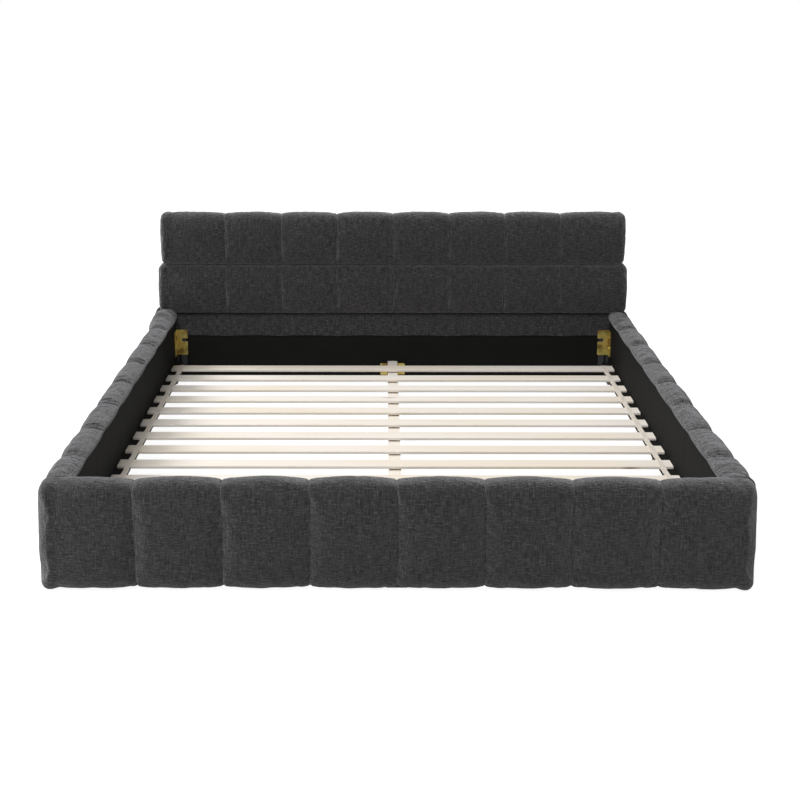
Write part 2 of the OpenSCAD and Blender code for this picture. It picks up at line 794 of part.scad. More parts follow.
// Moulded block foot under a board, with a step half way up
module foot(w, l) {
    step = 3;
    corner_r = 4;
    color(plastic_black) union() {
        linear_extrude(foot_h / 2) rounded_plate(w - step, l - step, corner_r);
        translate([0, 0, foot_h / 2]) linear_extrude(foot_h / 2) rounded_plate(w, l, corner_r);
    }
}

module feet_headboard() {
    edge = 6;
    width = batten_w / 2;
    x_out = head_frame_x - edge / 2 - width / 2;
    for (x = [-x_out, 0, x_out])
        translate([x, (panel_y + frame_back_y) / 2, 0]) foot(width, panel_t + batten_d - edge);
}

module feet_end_board() {
    for (x = [-foot_x, 0, foot_x])
        translate([x, (end_board_front_y + end_board_y) / 2, 0]) foot(foot_l, foot_w);
}

module feet_side_boards() {
    for (side = [-1, 1])
        translate([side * (board_x + board_out_x) / 2, 0, 0]) foot(foot_w, foot_l);
}

// ---------------------------------------------------------------- the bed

module left() {
    mirror([1, 0, 0]) children();
}

headboard_panel();
headboard_stile(-1);  // headboard_stile_left
headboard_stile(1);  // headboard_stile_right
headboard_batten(head_frame_top - batten_w);  // headboard_batten_top
headboard_batten(roll_bottom);  // headboard_batten_middle
headboard_batten(low_batten_z);  // headboard_batten_bottom
headboard_back_cloth();
headboard_front_cloth();
headboard_strip();
headboard_lower_roll();
headboard_top_roll();
headboard_side_cover(-1);  // headboard_side_cover_left
headboard_side_cover(1);  // headboard_side_cover_right
left() side_board();  // side_board_left
side_board();  // side_board_right
left() side_pad();  // side_pad_left
side_pad();  // side_pad_right
left() side_lining();  // side_lining_left
side_lining();  // side_lining_right
left() ledge();  // ledge_left
ledge();  // ledge_right
end_board();
end_pad();
end_lining();
for (i = [1:slats])
    slat(i);
slat_tape(-1);  // slat_tape_left
slat_tape(1);  // slat_tape_right
centre_rail(spine_joint + spine_gap / 2, spine_head_y);  // centre_rail_head
centre_rail(spine_foot_y, spine_joint - spine_gap / 2);  // centre_rail_foot
centre_splice_plate();
centre_hanger_head();
centre_hanger_foot();
centre_leg(0);  // centre_leg_1
centre_leg(1);  // centre_leg_2
centre_leg(2);  // centre_leg_3
bracket(-1, 1);  // bracket_head_left
bracket(1, 1);  // bracket_head_right
bracket(-1, -1);  // bracket_foot_left
bracket(1, -1);  // bracket_foot_right
bracket_backing_strips();
bracket_bolts();
bracket_screws();
ledge_screws();
centre_rail_screws();
feet_headboard();
feet_end_board();
feet_side_boards();
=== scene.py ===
# %% [markdown]
# # A low upholstered platform bed
# The bed stands on the floor like a shallow tray: a padded headboard, two padded side boards and
# a padded end board hold a deck of pine slats. The boards, slats, brackets and feet come in as a
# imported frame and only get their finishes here. Everything soft is made in this script: the
# channelled pads, the black lining cloths and the webbing tapes that keep the slats apart.

import math

import bpy
import numpy as np
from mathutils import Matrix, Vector, noise


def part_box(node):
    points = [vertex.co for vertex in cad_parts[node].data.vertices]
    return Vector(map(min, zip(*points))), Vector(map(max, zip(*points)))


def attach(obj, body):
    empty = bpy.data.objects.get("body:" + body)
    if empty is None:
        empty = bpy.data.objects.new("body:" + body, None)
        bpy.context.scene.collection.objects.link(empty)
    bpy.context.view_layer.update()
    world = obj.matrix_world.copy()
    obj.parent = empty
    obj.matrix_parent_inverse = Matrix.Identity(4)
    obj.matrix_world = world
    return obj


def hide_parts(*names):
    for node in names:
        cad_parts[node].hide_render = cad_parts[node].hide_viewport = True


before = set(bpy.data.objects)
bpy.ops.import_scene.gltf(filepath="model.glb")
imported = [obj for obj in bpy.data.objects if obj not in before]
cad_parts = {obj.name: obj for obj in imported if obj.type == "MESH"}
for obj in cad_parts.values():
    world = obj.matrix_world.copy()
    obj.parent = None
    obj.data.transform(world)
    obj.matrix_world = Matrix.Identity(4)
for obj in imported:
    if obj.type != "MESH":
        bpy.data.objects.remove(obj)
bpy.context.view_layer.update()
MM = 0.001
print("nodes in the frame:", len(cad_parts))


# %% [markdown]
# Operators act on whatever is selected, and the frame arrives selected. So every step starts
# with an empty selection, and a finished piece has its place applied: its object stays at
# the origin, and its shape lies in its mesh.

# %% Small helpers for selection and for measuring
def smooth(share):
    """Eases a share from 0 to 1 in and out."""
    return share * share * (3 - 2 * share)


def select_only(piece=None):
    """Leaves only this piece selected and active."""
    if bpy.context.object and bpy.context.object.mode != "OBJECT":
        bpy.ops.object.mode_set(mode="OBJECT")
    bpy.ops.object.select_all(action="DESELECT")
    if piece is not None:
        piece.select_set(True)
        bpy.context.view_layer.objects.active = piece


def coordinates(piece):
    """The piece's vertices as an array of points."""
    points = np.zeros(len(piece.data.vertices) * 3)
    piece.data.vertices.foreach_get("co", points)
    return points.reshape(-1, 3)


def move_to(piece, points):
    """Writes an array of points back to the piece's vertices."""
    piece.data.vertices.foreach_set("co", points.ravel())
    piece.data.update()


def settle(piece):
    """Puts the piece's place into its mesh, so that its object sits at the origin."""
    select_only(piece)
    bpy.ops.object.transform_apply(location=True, rotation=True, scale=True)


def apply_modifiers(piece):
    """Applies the piece's modifiers from the top down."""
    select_only(piece)
    for modifier in list(piece.modifiers):
        bpy.ops.object.modifier_apply(modifier=modifier.name)


def low(node):
    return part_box(node)[0]


def high(node):
    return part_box(node)[1]


# %% [markdown]
# The camera stands in front of the end board at about eye height and looks a little down. Its
# upright lines stay nearly upright because the picture plane is shifted down and not tilted
# further. The downward shift is assumed. The lens, the place, the tilt, the turn and the sideways
# shift were then fitted to the ends of the slats and to the bed's corners.

# %% Camera
LENS_MM = 60.78
SENSOR_MM = 36
PITCH_DOWN = 12.3
YAW = 0.209
CAMERA_PLACE = (-0.0410, -4.8872, 1.7566)
SHIFT_X, SHIFT_Y = 0.0266, -0.14

select_only()
bpy.ops.object.camera_add(
    location=CAMERA_PLACE, rotation=(math.radians(90 - PITCH_DOWN), 0, math.radians(YAW)))
camera = bpy.context.object
camera.data.lens = LENS_MM
camera.data.sensor_width = SENSOR_MM
camera.data.shift_x = SHIFT_X
camera.data.shift_y = SHIFT_Y
bpy.context.scene.camera = camera
print("camera at", CAMERA_PLACE)


# %% [markdown]
# A finish is a small network of nodes. Written out node by node it would hide the idea, so one
# class wraps a socket and lets sums be written as sums: an expression such as 0.2 + 0.5 * mask
# adds its own Math nodes. A second class holds one material and adds every other node.

# %% Shader sums
class Wire:
    """One number in a material, which adds Math nodes when it is used in an expression."""

    def __init__(self, finish, socket):
        self.finish = finish
        self.socket = socket

    def sum(self, operation, first, second=None):
        inputs = {0: first} if second is None else {0: first, 1: second}
        return self.finish.node("Math", {"operation": operation}, inputs)[0]

    def __add__(self, other):
        return self.sum("ADD", self, other)

    def __radd__(self, other):
        return self.sum("ADD", other, self)

    def __sub__(self, other):
        return self.sum("SUBTRACT", self, other)

    def __rsub__(self, other):
        return self.sum("SUBTRACT", other, self)

    def __mul__(self, other):
        return self.sum("MULTIPLY", self, other)

    def __rmul__(self, other):
        return self.sum("MULTIPLY", other, self)

    def sine(self):
        return self.sum("SINE", self)

    def absolute(self):
        return self.sum("ABSOLUTE", self)

    def larger(self, other):
        return self.sum("MAXIMUM", self, other)

    def smaller(self, other):
        return self.sum("MINIMUM", self, other)

    def ramp(self, start, end):
        """0 at start and 1 at end, level outside."""
        settings = {"clamp": True, "interpolation_type": "SMOOTHSTEP"}
        inputs = {"Value": self, "From Min": start, "From Max": end}
        return self.finish.node("MapRange", settings, inputs)[0]


class Finish:
    """One material, with a Principled shader whose constants are set on its own sockets."""

    def __init__(self, name, **constants):
        self.material = bpy.data.materials.new(name)
        self.material.use_nodes = True
        self.tree = self.material.node_tree
        self.shader = self.tree.nodes["Principled BSDF"]
        for label, value in constants.items():
            self.shader.inputs[label.replace("_", " ")].default_value = value

    def node(self, kind, settings=None, inputs=None):
        """Adds a node, sets its properties first, and returns all its outputs as wires."""
        made = self.tree.nodes.new("ShaderNode" + kind)
        for label, value in (settings or {}).items():
            setattr(made, label, value)
        for label, value in (inputs or {}).items():
            self.feed(made.inputs[label], value)
        return [Wire(self, output) for output in made.outputs]

    def feed(self, socket, value):
        if isinstance(value, Wire):
            self.tree.links.new(value.socket, socket)
        elif isinstance(value, (tuple, list)) and len(value) == 3 and socket.type == "RGBA":
            socket.default_value = (*value, 1)
        else:
            socket.default_value = value

    def object_place(self):
        """The point on the object, in metres."""
        return self.node("TexCoord")[3]

    def cloth_place(self):
        """The point on the cloth along its own UV map, in metres."""
        return self.node("UVMap", {"uv_map": CLOTH_MAP})[0]

    def parts(self, vector):
        return self.node("SeparateXYZ", None, {0: vector})

    def stretched(self, vector, scale):
        return self.node("Mapping", None, {"Vector": vector, "Scale": scale})[0]

    def noise(self, vector, scale, detail=2.0, roughness=0.5, distortion=0.0):
        inputs = {"Vector": vector, "Scale": scale, "Detail": detail,
                  "Roughness": roughness, "Distortion": distortion}
        return self.node("TexNoise", None, inputs)[0]

    def cells(self, vector, scale):
        """Distance to the nearest of many scattered points."""
        return self.node("TexVoronoi", None, {"Vector": vector, "Scale": scale})[0]

    def blend(self, factor, first, second):
        """A colour between two colours."""
        made = self.tree.nodes.new("ShaderNodeMix")
        made.data_type = "RGBA"
        self.feed(made.inputs["Factor"], factor)
        self.feed(made.inputs[6], first)
        self.feed(made.inputs[7], second)
        return Wire(self, made.outputs[2])

    def bump(self, height, distance, strength=1.0, below=None):
        inputs = {"Height": height, "Distance": distance, "Strength": strength}
        if below is not None:
            inputs["Normal"] = below
        return self.node("Bump", None, inputs)[0]

    def use(self, **links):
        """Feeds the shader's sockets, named with underscores for spaces."""
        for label, value in links.items():
            self.feed(self.shader.inputs[label.replace("_", " ")], value)
        return self.material


CLOTH_MAP = "cloth"


# %% [markdown]
# The cover is a charcoal chenille. Its thick, soft yarns lie across and along the cloth, and
# here and there a lighter fibre shows, so from a step away it looks finely flecked and from
# further off mottled, with faint streaks along the warp. The pattern follows the cloth and not
# the room, so it reads the UV map that each pad gets when its cloth is wrapped: one unit there is
# one metre of cloth. Sheen gives the pale bloom that the pile has where it is seen at a flat
# angle. In the picture the side pads look coarser and patchier than the headboard, so they get a
# second version of the finish, with a higher nap and larger patches. Its colours are also a
# quarter paler, which is painted light: the side pads are the same cloth as the other pads and
# only look brighter because they are seen at a flat angle and lit from above. Both sides share
# it, because a difference between left and right is taken to be the light's.

# %% Chenille cover
CHENILLE_DARK = (0.017, 0.0167, 0.0176)
CHENILLE_MID = (0.058, 0.0569, 0.0588)
CHENILLE_LIGHT = (0.150, 0.149, 0.152)
SHEEN_TINT = (0.86, 0.86, 0.88, 1)
YARN = 2.6 * MM
NAP, LOOSE_NAP = 4 * MM, 8 * MM
FLECK_LONG = 26 * MM
FLECK_THIN = 3.6 * MM
TUFT = 9 * MM
STREAK_LONG = 90 * MM
STREAK_THIN = 5 * MM
PATCH_LONG = 42 * MM
PATCH_THIN = 8 * MM


def chenille(name, nap_height, patchy=0.0, painted_paler=1.0):
    finish = Finish(name, Roughness=0.92, Sheen_Weight=0.7, Sheen_Roughness=0.36,
                    Specular_IOR_Level=0.15)
    finish.shader.inputs["Sheen Tint"].default_value = SHEEN_TINT
    place = finish.cloth_place()
    across, along, _ = finish.parts(place)

    def drawn_out(size_across, size_along, detail, roughness):
        """Noise whose spots have a size across the cloth and one along it."""
        scale = (1 / size_across, 1 / size_along, 1)
        return finish.noise(finish.stretched(place, scale), 1, detail, roughness)

    wander = finish.noise(place, 90, 1) - 0.5
    weft = (along * (math.tau / YARN) + wander * 3).sine()
    warp = (across * (math.tau / YARN) + wander * 3).sine()
    lying = drawn_out(FLECK_LONG, FLECK_THIN, 3, 0.6)
    standing = drawn_out(FLECK_THIN, FLECK_LONG, 3, 0.6)
    fibres = finish.noise(place, 1400, 2, 0.7)
    tufts = finish.noise(place, 1 / TUFT, 3, 0.6)
    streaks = drawn_out(STREAK_THIN, STREAK_LONG, 2, 0.5)
    patches = drawn_out(PATCH_LONG, PATCH_THIN, 4, 0.7)
    # The paler factor scales all three colours up. Above 1 it is painted light: a lighter copy of
    # the same cloth for pads that catch more light.
    dark, middle, light = (tuple(part * painted_paler for part in colour)
                           for colour in (CHENILLE_DARK, CHENILLE_MID, CHENILLE_LIGHT))
    flecks = (lying.ramp(0.52, 0.72) + standing.ramp(0.54, 0.74) * 0.8) * fibres.ramp(0.3, 0.7)
    shade = (tufts - 0.5) * 0.9 + (lying - 0.5) * 1.4 + (standing - 0.5) * 1.4
    shade = shade + (streaks - 0.5) + (patches - 0.5) * patchy
    body = finish.blend((shade + 0.5).ramp(0.0, 1.0), dark, middle)
    colour = finish.blend((flecks * 0.75).smaller(1.0), body, light)
    pile = weft * 0.3 + warp * 0.3 + lying * 1.4 + standing * 1.0 + fibres * 0.7
    nap = finish.bump(tufts + lying * 0.7 + standing * 0.7, nap_height, 0.6)
    return finish.use(Base_Color=colour, Normal=finish.bump(pile, 0.9 * MM, 0.8, nap))


cover = chenille("chenille_charcoal", NAP)
# The side pads' cover is a quarter paler. This is painted light for their brighter look at a flat
# angle under light from above.
loose_painted_cover = chenille("chenille_charcoal_loose_painted_paler", LOOSE_NAP, patchy=5.5, painted_paler=1.25)
print("made", cover.name, "and", loose_painted_cover.name)


# %% [markdown]
# The inside of the boards and the back of the headboard are lined with a thin black cloth of
# pressed fibres. It has no yarns: small pressed dimples in even rows hold its fibres together.

# %% Black lining cloth
LINING_BLACK = (0.003, 0.003, 0.0028)
LINING_LIGHTER = (0.0095, 0.0095, 0.0082)
DIMPLE = 3 * MM


def lining_cloth():
    finish = Finish("lining_cloth_black", Roughness=0.8, Specular_IOR_Level=0.12)
    place = finish.cloth_place()
    across, along, _ = finish.parts(place)
    rows = (across * (math.pi / DIMPLE)).sine() * (along * (math.pi / DIMPLE)).sine()
    dimples = rows.absolute().ramp(0.3, 0.9)
    fibres = finish.noise(finish.stretched(place, (1, 0.35, 1)), 900, 3, 0.65)
    cloudy = finish.noise(place, 9, 3)
    colour = finish.blend((fibres * 0.7 + cloudy * 0.6 - 0.35), LINING_BLACK, LINING_LIGHTER)
    height = fibres * 0.5 - dimples
    return finish.use(Base_Color=colour, Roughness=0.72 + fibres * 0.2,
                      Normal=finish.bump(height, 0.25 * MM, 0.5))


lining = lining_cloth()
print("made", lining.name)


# %% [markdown]
# Pine shows long grain lines, darker late wood between wide pale bands, and a few small knots.
# One recipe serves every stick: the point on the wood is turned so that the grain always runs
# along its first coordinate, and then squeezed along it, which draws the noise out into lines.

# %% Pine, with its grain along a chosen axis
PINE_PALE = (0.82, 0.77, 0.71)
PINE_WARM = (0.79, 0.71, 0.60)
PINE_LINE = (0.63, 0.48, 0.32)
PINE_KNOT = (0.30, 0.17, 0.08)
GRAIN_TURNS = {"x": (0, 0, 0), "y": (0, 0, -math.pi / 2), "z": (0, math.pi / 2, 0)}


def pine(axis):
    finish = Finish("pine_along_" + axis, Roughness=0.6, Specular_IOR_Level=0.2)
    turned = finish.node("Mapping", None, {"Vector": finish.object_place(),
                                           "Rotation": GRAIN_TURNS[axis]})[0]
    flow = finish.noise(finish.stretched(turned, (1.2, 7, 7)), 1, 2, 0.5)
    lines_at = finish.stretched(turned, (2.0, 120, 120))
    lines = finish.noise(lines_at, 1, 4, 0.6, 1.2)
    fine = finish.noise(finish.stretched(turned, (12, 900, 900)), 1, 3, 0.6)
    knots = finish.cells(finish.stretched(turned, (1.4, 9, 9)), 1)
    pale = finish.blend(flow.ramp(0.35, 0.7), PINE_PALE, PINE_WARM)
    lined = finish.blend(lines.ramp(0.56, 0.78) * 0.45, pale, PINE_LINE)
    combed = finish.blend(fine.ramp(0.5, 0.8) * 0.16, lined, PINE_LINE)
    knotted = finish.blend(1 - knots.ramp(0.02, 0.075), combed, PINE_KNOT)
    height = lines * 0.6 + fine * 0.5
    return finish.use(Base_Color=knotted, Roughness=0.56 + fine * 0.16,
                      Normal=finish.bump(height, 0.3 * MM, 0.35))


PINE_NODES = {
    "x": ["slat_%02d" % i for i in range(1, 14)]
         + ["headboard_batten_top", "headboard_batten_middle", "headboard_batten_bottom"],
    "y": ["ledge_left", "ledge_right", "centre_rail_head", "centre_rail_foot"],
    "z": ["headboard_stile_left", "headboard_stile_right"],
}


def finish_nodes(names, material):
    """Gives CAD nodes a material through their own slots."""
    for name in names:
        for material_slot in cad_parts[name].material_slots:
            material_slot.material = material
    print(material.name, "on", len(names), "nodes")


for grain_axis, pine_names in PINE_NODES.items():
    finish_nodes(pine_names, pine(grain_axis))


# %% [markdown]
# The boards under the pads are plywood. Its faces show a broad, wavy grain, and its edges show
# the plies, so the layers are counted through the board's thickness wherever an edge is seen.

# %% Plywood
PLY_PALE = (0.66, 0.50, 0.32)
PLY_DARK = (0.45, 0.30, 0.165)
PLY = 2.2 * MM


def plywood():
    finish = Finish("plywood_raw", Roughness=0.62, Specular_IOR_Level=0.3)
    place = finish.object_place()
    x, y, z = finish.parts(place)
    broad = finish.noise(finish.stretched(place, (1.5, 1.5, 14)), 1, 3, 0.55, 1.5)
    pores = finish.noise(finish.stretched(place, (30, 30, 700)), 1, 2, 0.6)
    plies = ((x + y) * (math.tau / PLY)).sine().ramp(-0.4, 0.4)
    colour = finish.blend(broad.ramp(0.4, 0.65) * 0.7 + pores.ramp(0.5, 0.8) * 0.2,
                          PLY_PALE, PLY_DARK)
    layered = finish.blend(plies * 0.3, colour, PLY_DARK)
    return finish.use(Base_Color=layered, Normal=finish.bump(pores + broad, 0.3 * MM, 0.3))


finish_nodes(["headboard_panel", "side_board_left", "side_board_right", "end_board"], plywood())


# %% [markdown]
# Brackets, hangers, plate and screws are steel with a yellow zinc coat. The coat isn't one
# colour: it drifts between straw, a greenish tint and brown where its film is thinner or
# thicker, and handling has left fine scratches.

# %% Yellow zinc-plated steel
ZINC_STRAW = (0.60, 0.46, 0.13)
ZINC_GREEN = (0.46, 0.43, 0.14)
ZINC_BROWN = (0.20, 0.11, 0.03)


def yellow_zinc():
    finish = Finish("yellow_zinc_steel", Metallic=0.85, Roughness=0.38)
    place = finish.object_place()
    drift = finish.noise(place, 38, 3, 0.55, 0.8)
    film = finish.noise(place, 21, 2, 0.5)
    scratches = finish.noise(finish.stretched(place, (30, 30, 600)), 1, 2, 0.6)
    green = finish.blend(drift.ramp(0.48, 0.62), ZINC_STRAW, ZINC_GREEN)
    tinted = finish.blend(film.ramp(0.46, 0.64) * 0.85, green, ZINC_BROWN)
    return finish.use(Base_Color=tinted, Roughness=0.3 + drift * 0.2 + scratches * 0.12,
                      Normal=finish.bump(scratches, 0.1 * MM, 0.35))


finish_nodes(["centre_splice_plate", "centre_hanger_head", "centre_hanger_foot",
              "bracket_head_left", "bracket_head_right", "bracket_foot_left",
              "bracket_foot_right", "bracket_bolts", "bracket_screws", "ledge_screws",
              "centre_rail_screws"], yellow_zinc())


# %% [markdown]
# Feet and legs are moulded in black plastic with a fine spark-eroded texture, and the strips
# behind the brackets are dark grey fibreboard with a dull, slightly hairy face.

# %% Black plastic and grey fibreboard
PLASTIC_BLACK, PLASTIC_SCUFFED = (0.011, 0.011, 0.012), (0.026, 0.026, 0.027)
FIBREBOARD_DARK, FIBREBOARD_PALE = (0.022, 0.024, 0.027), (0.050, 0.054, 0.058)


def black_plastic():
    finish = Finish("plastic_black_moulded", Roughness=0.5, Specular_IOR_Level=0.45)
    place = finish.object_place()
    grain = finish.noise(place, 1500, 2, 0.6)
    scuffs = finish.noise(place, 40, 4, 0.6)
    colour = finish.blend(scuffs.ramp(0.5, 0.8), PLASTIC_BLACK, PLASTIC_SCUFFED)
    return finish.use(Base_Color=colour, Roughness=0.42 + scuffs * 0.2,
                      Normal=finish.bump(grain, 0.15 * MM, 0.4))


def grey_fibreboard():
    finish = Finish("grey_fibreboard", Roughness=0.8, Specular_IOR_Level=0.3)
    place = finish.object_place()
    fibres = finish.noise(finish.stretched(place, (300, 300, 60)), 1, 3, 0.65)
    colour = finish.blend(fibres, FIBREBOARD_DARK, FIBREBOARD_PALE)
    return finish.use(Base_Color=colour, Normal=finish.bump(fibres, 0.2 * MM, 0.4))


finish_nodes(["centre_leg_1", "centre_leg_2", "centre_leg_3", "feet_headboard", "feet_end_board",
              "feet_side_boards"], black_plastic())
finish_nodes(["bracket_backing_strips"], grey_fibreboard())


# %% [markdown]
# ## The channelled pads
# A pad could be a box with a bump map, but its channels show in the outline, so they need real
# geometry. It could also be blown up freely from a cut pattern, which takes minutes to settle.
# Here a sheet is wrapped round the pad's section, ring after ring along its length, with the
# rings close together at each seam. Then a short cloth simulation holds the seams and the
# hidden back and lets pressure fill the rest, so that the puffs get their own small unevenness.

# %% The outline of a pad's section, with its corners rounded
def rounded_outline(corners, spacing):
    """Points round a closed outline, through corners given as (y, z, radius)."""
    count = len(corners)
    arcs = []
    for k in range(count):
        before, here, after = (Vector(corners[(k + j) % count][:2]) for j in (-1, 0, 1))
        radius = corners[k][2]
        arm_back, arm_on = (before - here).normalized(), (after - here).normalized()
        half = arm_back.angle(arm_on) / 2
        centre = here + (arm_back + arm_on).normalized() * (radius / math.sin(half))
        first = here + arm_back * (radius / math.tan(half)) - centre
        last = here + arm_on * (radius / math.tan(half)) - centre
        steps = max(3, round(radius * (math.pi - 2 * half) / spacing))
        turn = first.angle_signed(last)
        arcs.append([centre + turned(first, turn * j / steps) for j in range(steps + 1)])
    points = []
    for k in range(count):
        points += arcs[k]
        gap = arcs[(k + 1) % count][0] - arcs[k][-1]
        inner = max(0, round(gap.length / spacing) - 1)
        points += [arcs[k][-1] + gap * (j + 1) / (inner + 1) for j in range(inner)]
    return np.array([list(p) for p in points])


def turned(arm, angle):
    """A flat vector turned clockwise, as Blender's signed angle counts."""
    c, s = math.cos(angle), math.sin(angle)
    return Vector((arm.x * c + arm.y * s, arm.y * c - arm.x * s))


def outward(outline):
    """Unit normals of a closed outline, which point out of it."""
    along = np.roll(outline, -1, 0) - np.roll(outline, 1, 0)
    normals = np.stack([along[:, 1], -along[:, 0]], 1)
    normals /= np.linalg.norm(normals, axis=1)[:, None]
    after = np.roll(outline, -1, 0)
    area = np.sum(outline[:, 0] * after[:, 1] - after[:, 0] * outline[:, 1])
    return normals if area > 0 else -normals


# %% [markdown]
# Along the pad, the rings stand close at a seam and wider in the middle of a puff. A puff's
# fullness adds two curves: one is steep right beside the seam, where two puffs press against
# each other, and one is a low arch over the whole puff.

# %% Rings along a pad
RINGS_PER_HALF_PUFF = 13
RING_CROWDING = 1.7
END_TURNS = 6
CAP_SHARES = (0.8, 0.55, 0.3, 0.0)


def fullness(share):
    """How full a puff is at a share of the way from its seam to its middle."""
    share = np.clip(share, 0, 1)
    return 0.42 * (1 - (1 - share) ** 28) ** 0.5 + 0.58 * (1 - (1 - share) ** 2)


def pad_rings(seams, end_radius):
    """Rows of place, fullness, inset and shrink, from one end of a pad to the other."""
    start, stop = seams[0], seams[-1]
    shares = [(i / RINGS_PER_HALF_PUFF) ** RING_CROWDING for i in range(RINGS_PER_HALF_PUFF + 1)]
    rows = []
    for first, last in zip(seams[:-1], seams[1:]):
        half = (last - first) / 2
        for share in shares[:-1]:
            rows.append((first + share * half, fullness(share)))
        for share in shares[::-1][:-1]:
            rows.append((last - share * half, fullness(share)))
    rows = [(place, full if start + 1.5 * end_radius < place < stop - 1.5 * end_radius else 1.0)
            for place, full in rows if start + end_radius < place < stop - end_radius]
    puffs = [(place, full, 0.0, 1.0) for place, full in rows]
    turns = [math.pi / 2 * i / END_TURNS for i in range(END_TURNS + 1)]
    head = [(start + end_radius * (1 - math.sin(t)), 1.0, end_radius * (1 - math.cos(t)), 1.0)
            for t in turns]
    tail = [(stop - (place - start), full, inset, size) for place, full, inset, size in head]
    caps = [(start, 1.0, end_radius, share) for share in CAP_SHARES[::-1]]
    far_caps = [(stop, 1.0, end_radius, share) for share in CAP_SHARES]
    return caps + head[::-1] + puffs + tail + far_caps


# %% [markdown]
# The sheet is a grid primitive with one row of faces for each ring. Each of its vertices is
# moved to its place on the pad. Its UV map is set in metres of cloth before its long edges
# merge, so that the weave runs on round the pad and breaks only at the hidden seam.

# %% Grids, UV maps and normals, for every cloth in this script
MERGE_WITHIN = 1e-5


def flat_grid(name, columns, rows):
    """A grid primitive, with the column and the row of each of its vertices."""
    select_only()
    bpy.ops.mesh.primitive_grid_add(x_subdivisions=columns, y_subdivisions=rows, size=1)
    piece = bpy.context.object
    piece.name = name
    grid = coordinates(piece)
    column = np.rint((grid[:, 0] + 0.5) * columns).astype(int)
    row = np.rint((grid[:, 1] + 0.5) * rows).astype(int)
    return piece, column, row


def cloth_map(piece, first, second):
    """A UV map in metres of cloth, from two distances for each vertex."""
    piece.data.uv_layers[0].name = CLOTH_MAP
    corners = np.zeros(len(piece.data.loops), int)
    piece.data.loops.foreach_get("vertex_index", corners)
    flat = np.stack([first[corners], second[corners]], 1)
    piece.data.uv_layers[0].data.foreach_set("uv", flat.ravel())


def turn_outwards(piece, merge=None):
    """Merges vertices that lie together, if asked, and turns all faces outwards."""
    select_only(piece)
    bpy.ops.object.mode_set(mode="EDIT")
    bpy.ops.mesh.select_all(action="SELECT")
    if merge:
        bpy.ops.mesh.remove_doubles(threshold=merge)
    bpy.ops.mesh.normals_make_consistent(inside=False)
    select_only(piece)


# %% Wrapping a sheet into a pad
def free_share(outline, held, reach):
    """0 where a point of the outline is held, and 1 from reach away along the outline."""
    steps = np.linalg.norm(np.roll(outline, -1, 0) - outline, axis=1)
    walked = np.concatenate([[0], np.cumsum(steps)])
    length, walked = walked[-1], walked[:-1]
    gaps = np.abs(walked[:, None] - walked[held][None, :])
    gaps = np.minimum(gaps, length - gaps).min(1)
    return smooth(np.clip(gaps / reach, 0, 1))


def wrap_pad(name, outline, loose, rings, channel, axes=(0, 1, 2), side=1, wobble=0.0,
             heart=None):
    """A closed pad whose rings follow one another along the first of the axes. Its caps close
    on the heart, a point of the section from which its whole outline can be seen."""
    columns = len(outline)
    pad, column, row = flat_grid(name, columns, len(rings) - 1)
    wrapped = column % columns
    place, full, inset, size = (np.array(part) for part in zip(*rings))
    normals = outward(outline)
    centre = (outline.max(0) + outline.min(0)) / 2
    half = (outline.max(0) - outline.min(0)) / 2
    section = outline[wrapped] - normals[wrapped] * (
        channel * (1 - full[row]) * loose[wrapped])[:, None]
    section = centre + (section - centre) * (1 - inset[row][:, None] / half)
    heart = centre if heart is None else np.array(heart)
    section = heart + (section - heart) * size[row][:, None]
    lean = np.array([noise.noise(Vector((around * 0.09, along * 1.7, 3.1)))
                     for around, along in zip(wrapped, place[row])])
    points = np.zeros((len(row), 3))
    points[:, axes[0]] = place[row] + wobble * lean * (1 - full[row]) * loose[wrapped]
    points[:, axes[1]] = section[:, 0] * side
    points[:, axes[2]] = section[:, 1]
    move_to(pad, points)
    pad_map(pad, rings, outline, row, column)
    held = np.maximum.reduce([1 - loose[wrapped], (full[row] < 0.02) * 1.0, (size[row] < 1) * 1.0])
    group = pad.vertex_groups.new(name="held")
    for index in np.flatnonzero(held > 0):
        group.add([int(index)], float(held[index]), "REPLACE")
    turn_outwards(pad, merge=MERGE_WITHIN)
    return pad


def pad_map(pad, rings, outline, row, column):
    """The pad's UV map: along the pad first, and round it second."""
    place, _, inset, size = (np.array(part) for part in zip(*rings))
    half = (outline.max(0) - outline.min(0)).mean() / 2
    steps = np.hypot(np.diff(place), np.diff(inset) + half * np.diff(size))
    along = np.concatenate([[0], np.cumsum(steps)]) + place[0]
    around = np.linalg.norm(np.roll(outline, -1, 0) - outline, axis=1)
    around = np.concatenate([[0], np.cumsum(around)])
    cloth_map(pad, along[row], around[column])


# %% [markdown]
# The simulation is short. Seams, ends and the back are held, gravity is off, and a light
# pressure swells the free cloth, which is cut a trifle too large. After twenty frames the cloth
# is taken as it is, and no point may have moved further than the cap.

# %% Puffing a pad up
PUFF_FRAMES = 20
PUFF_PRESSURE, PUFF_CAP = 4.0, 7 * MM
EXTRA_CLOTH = 0.015


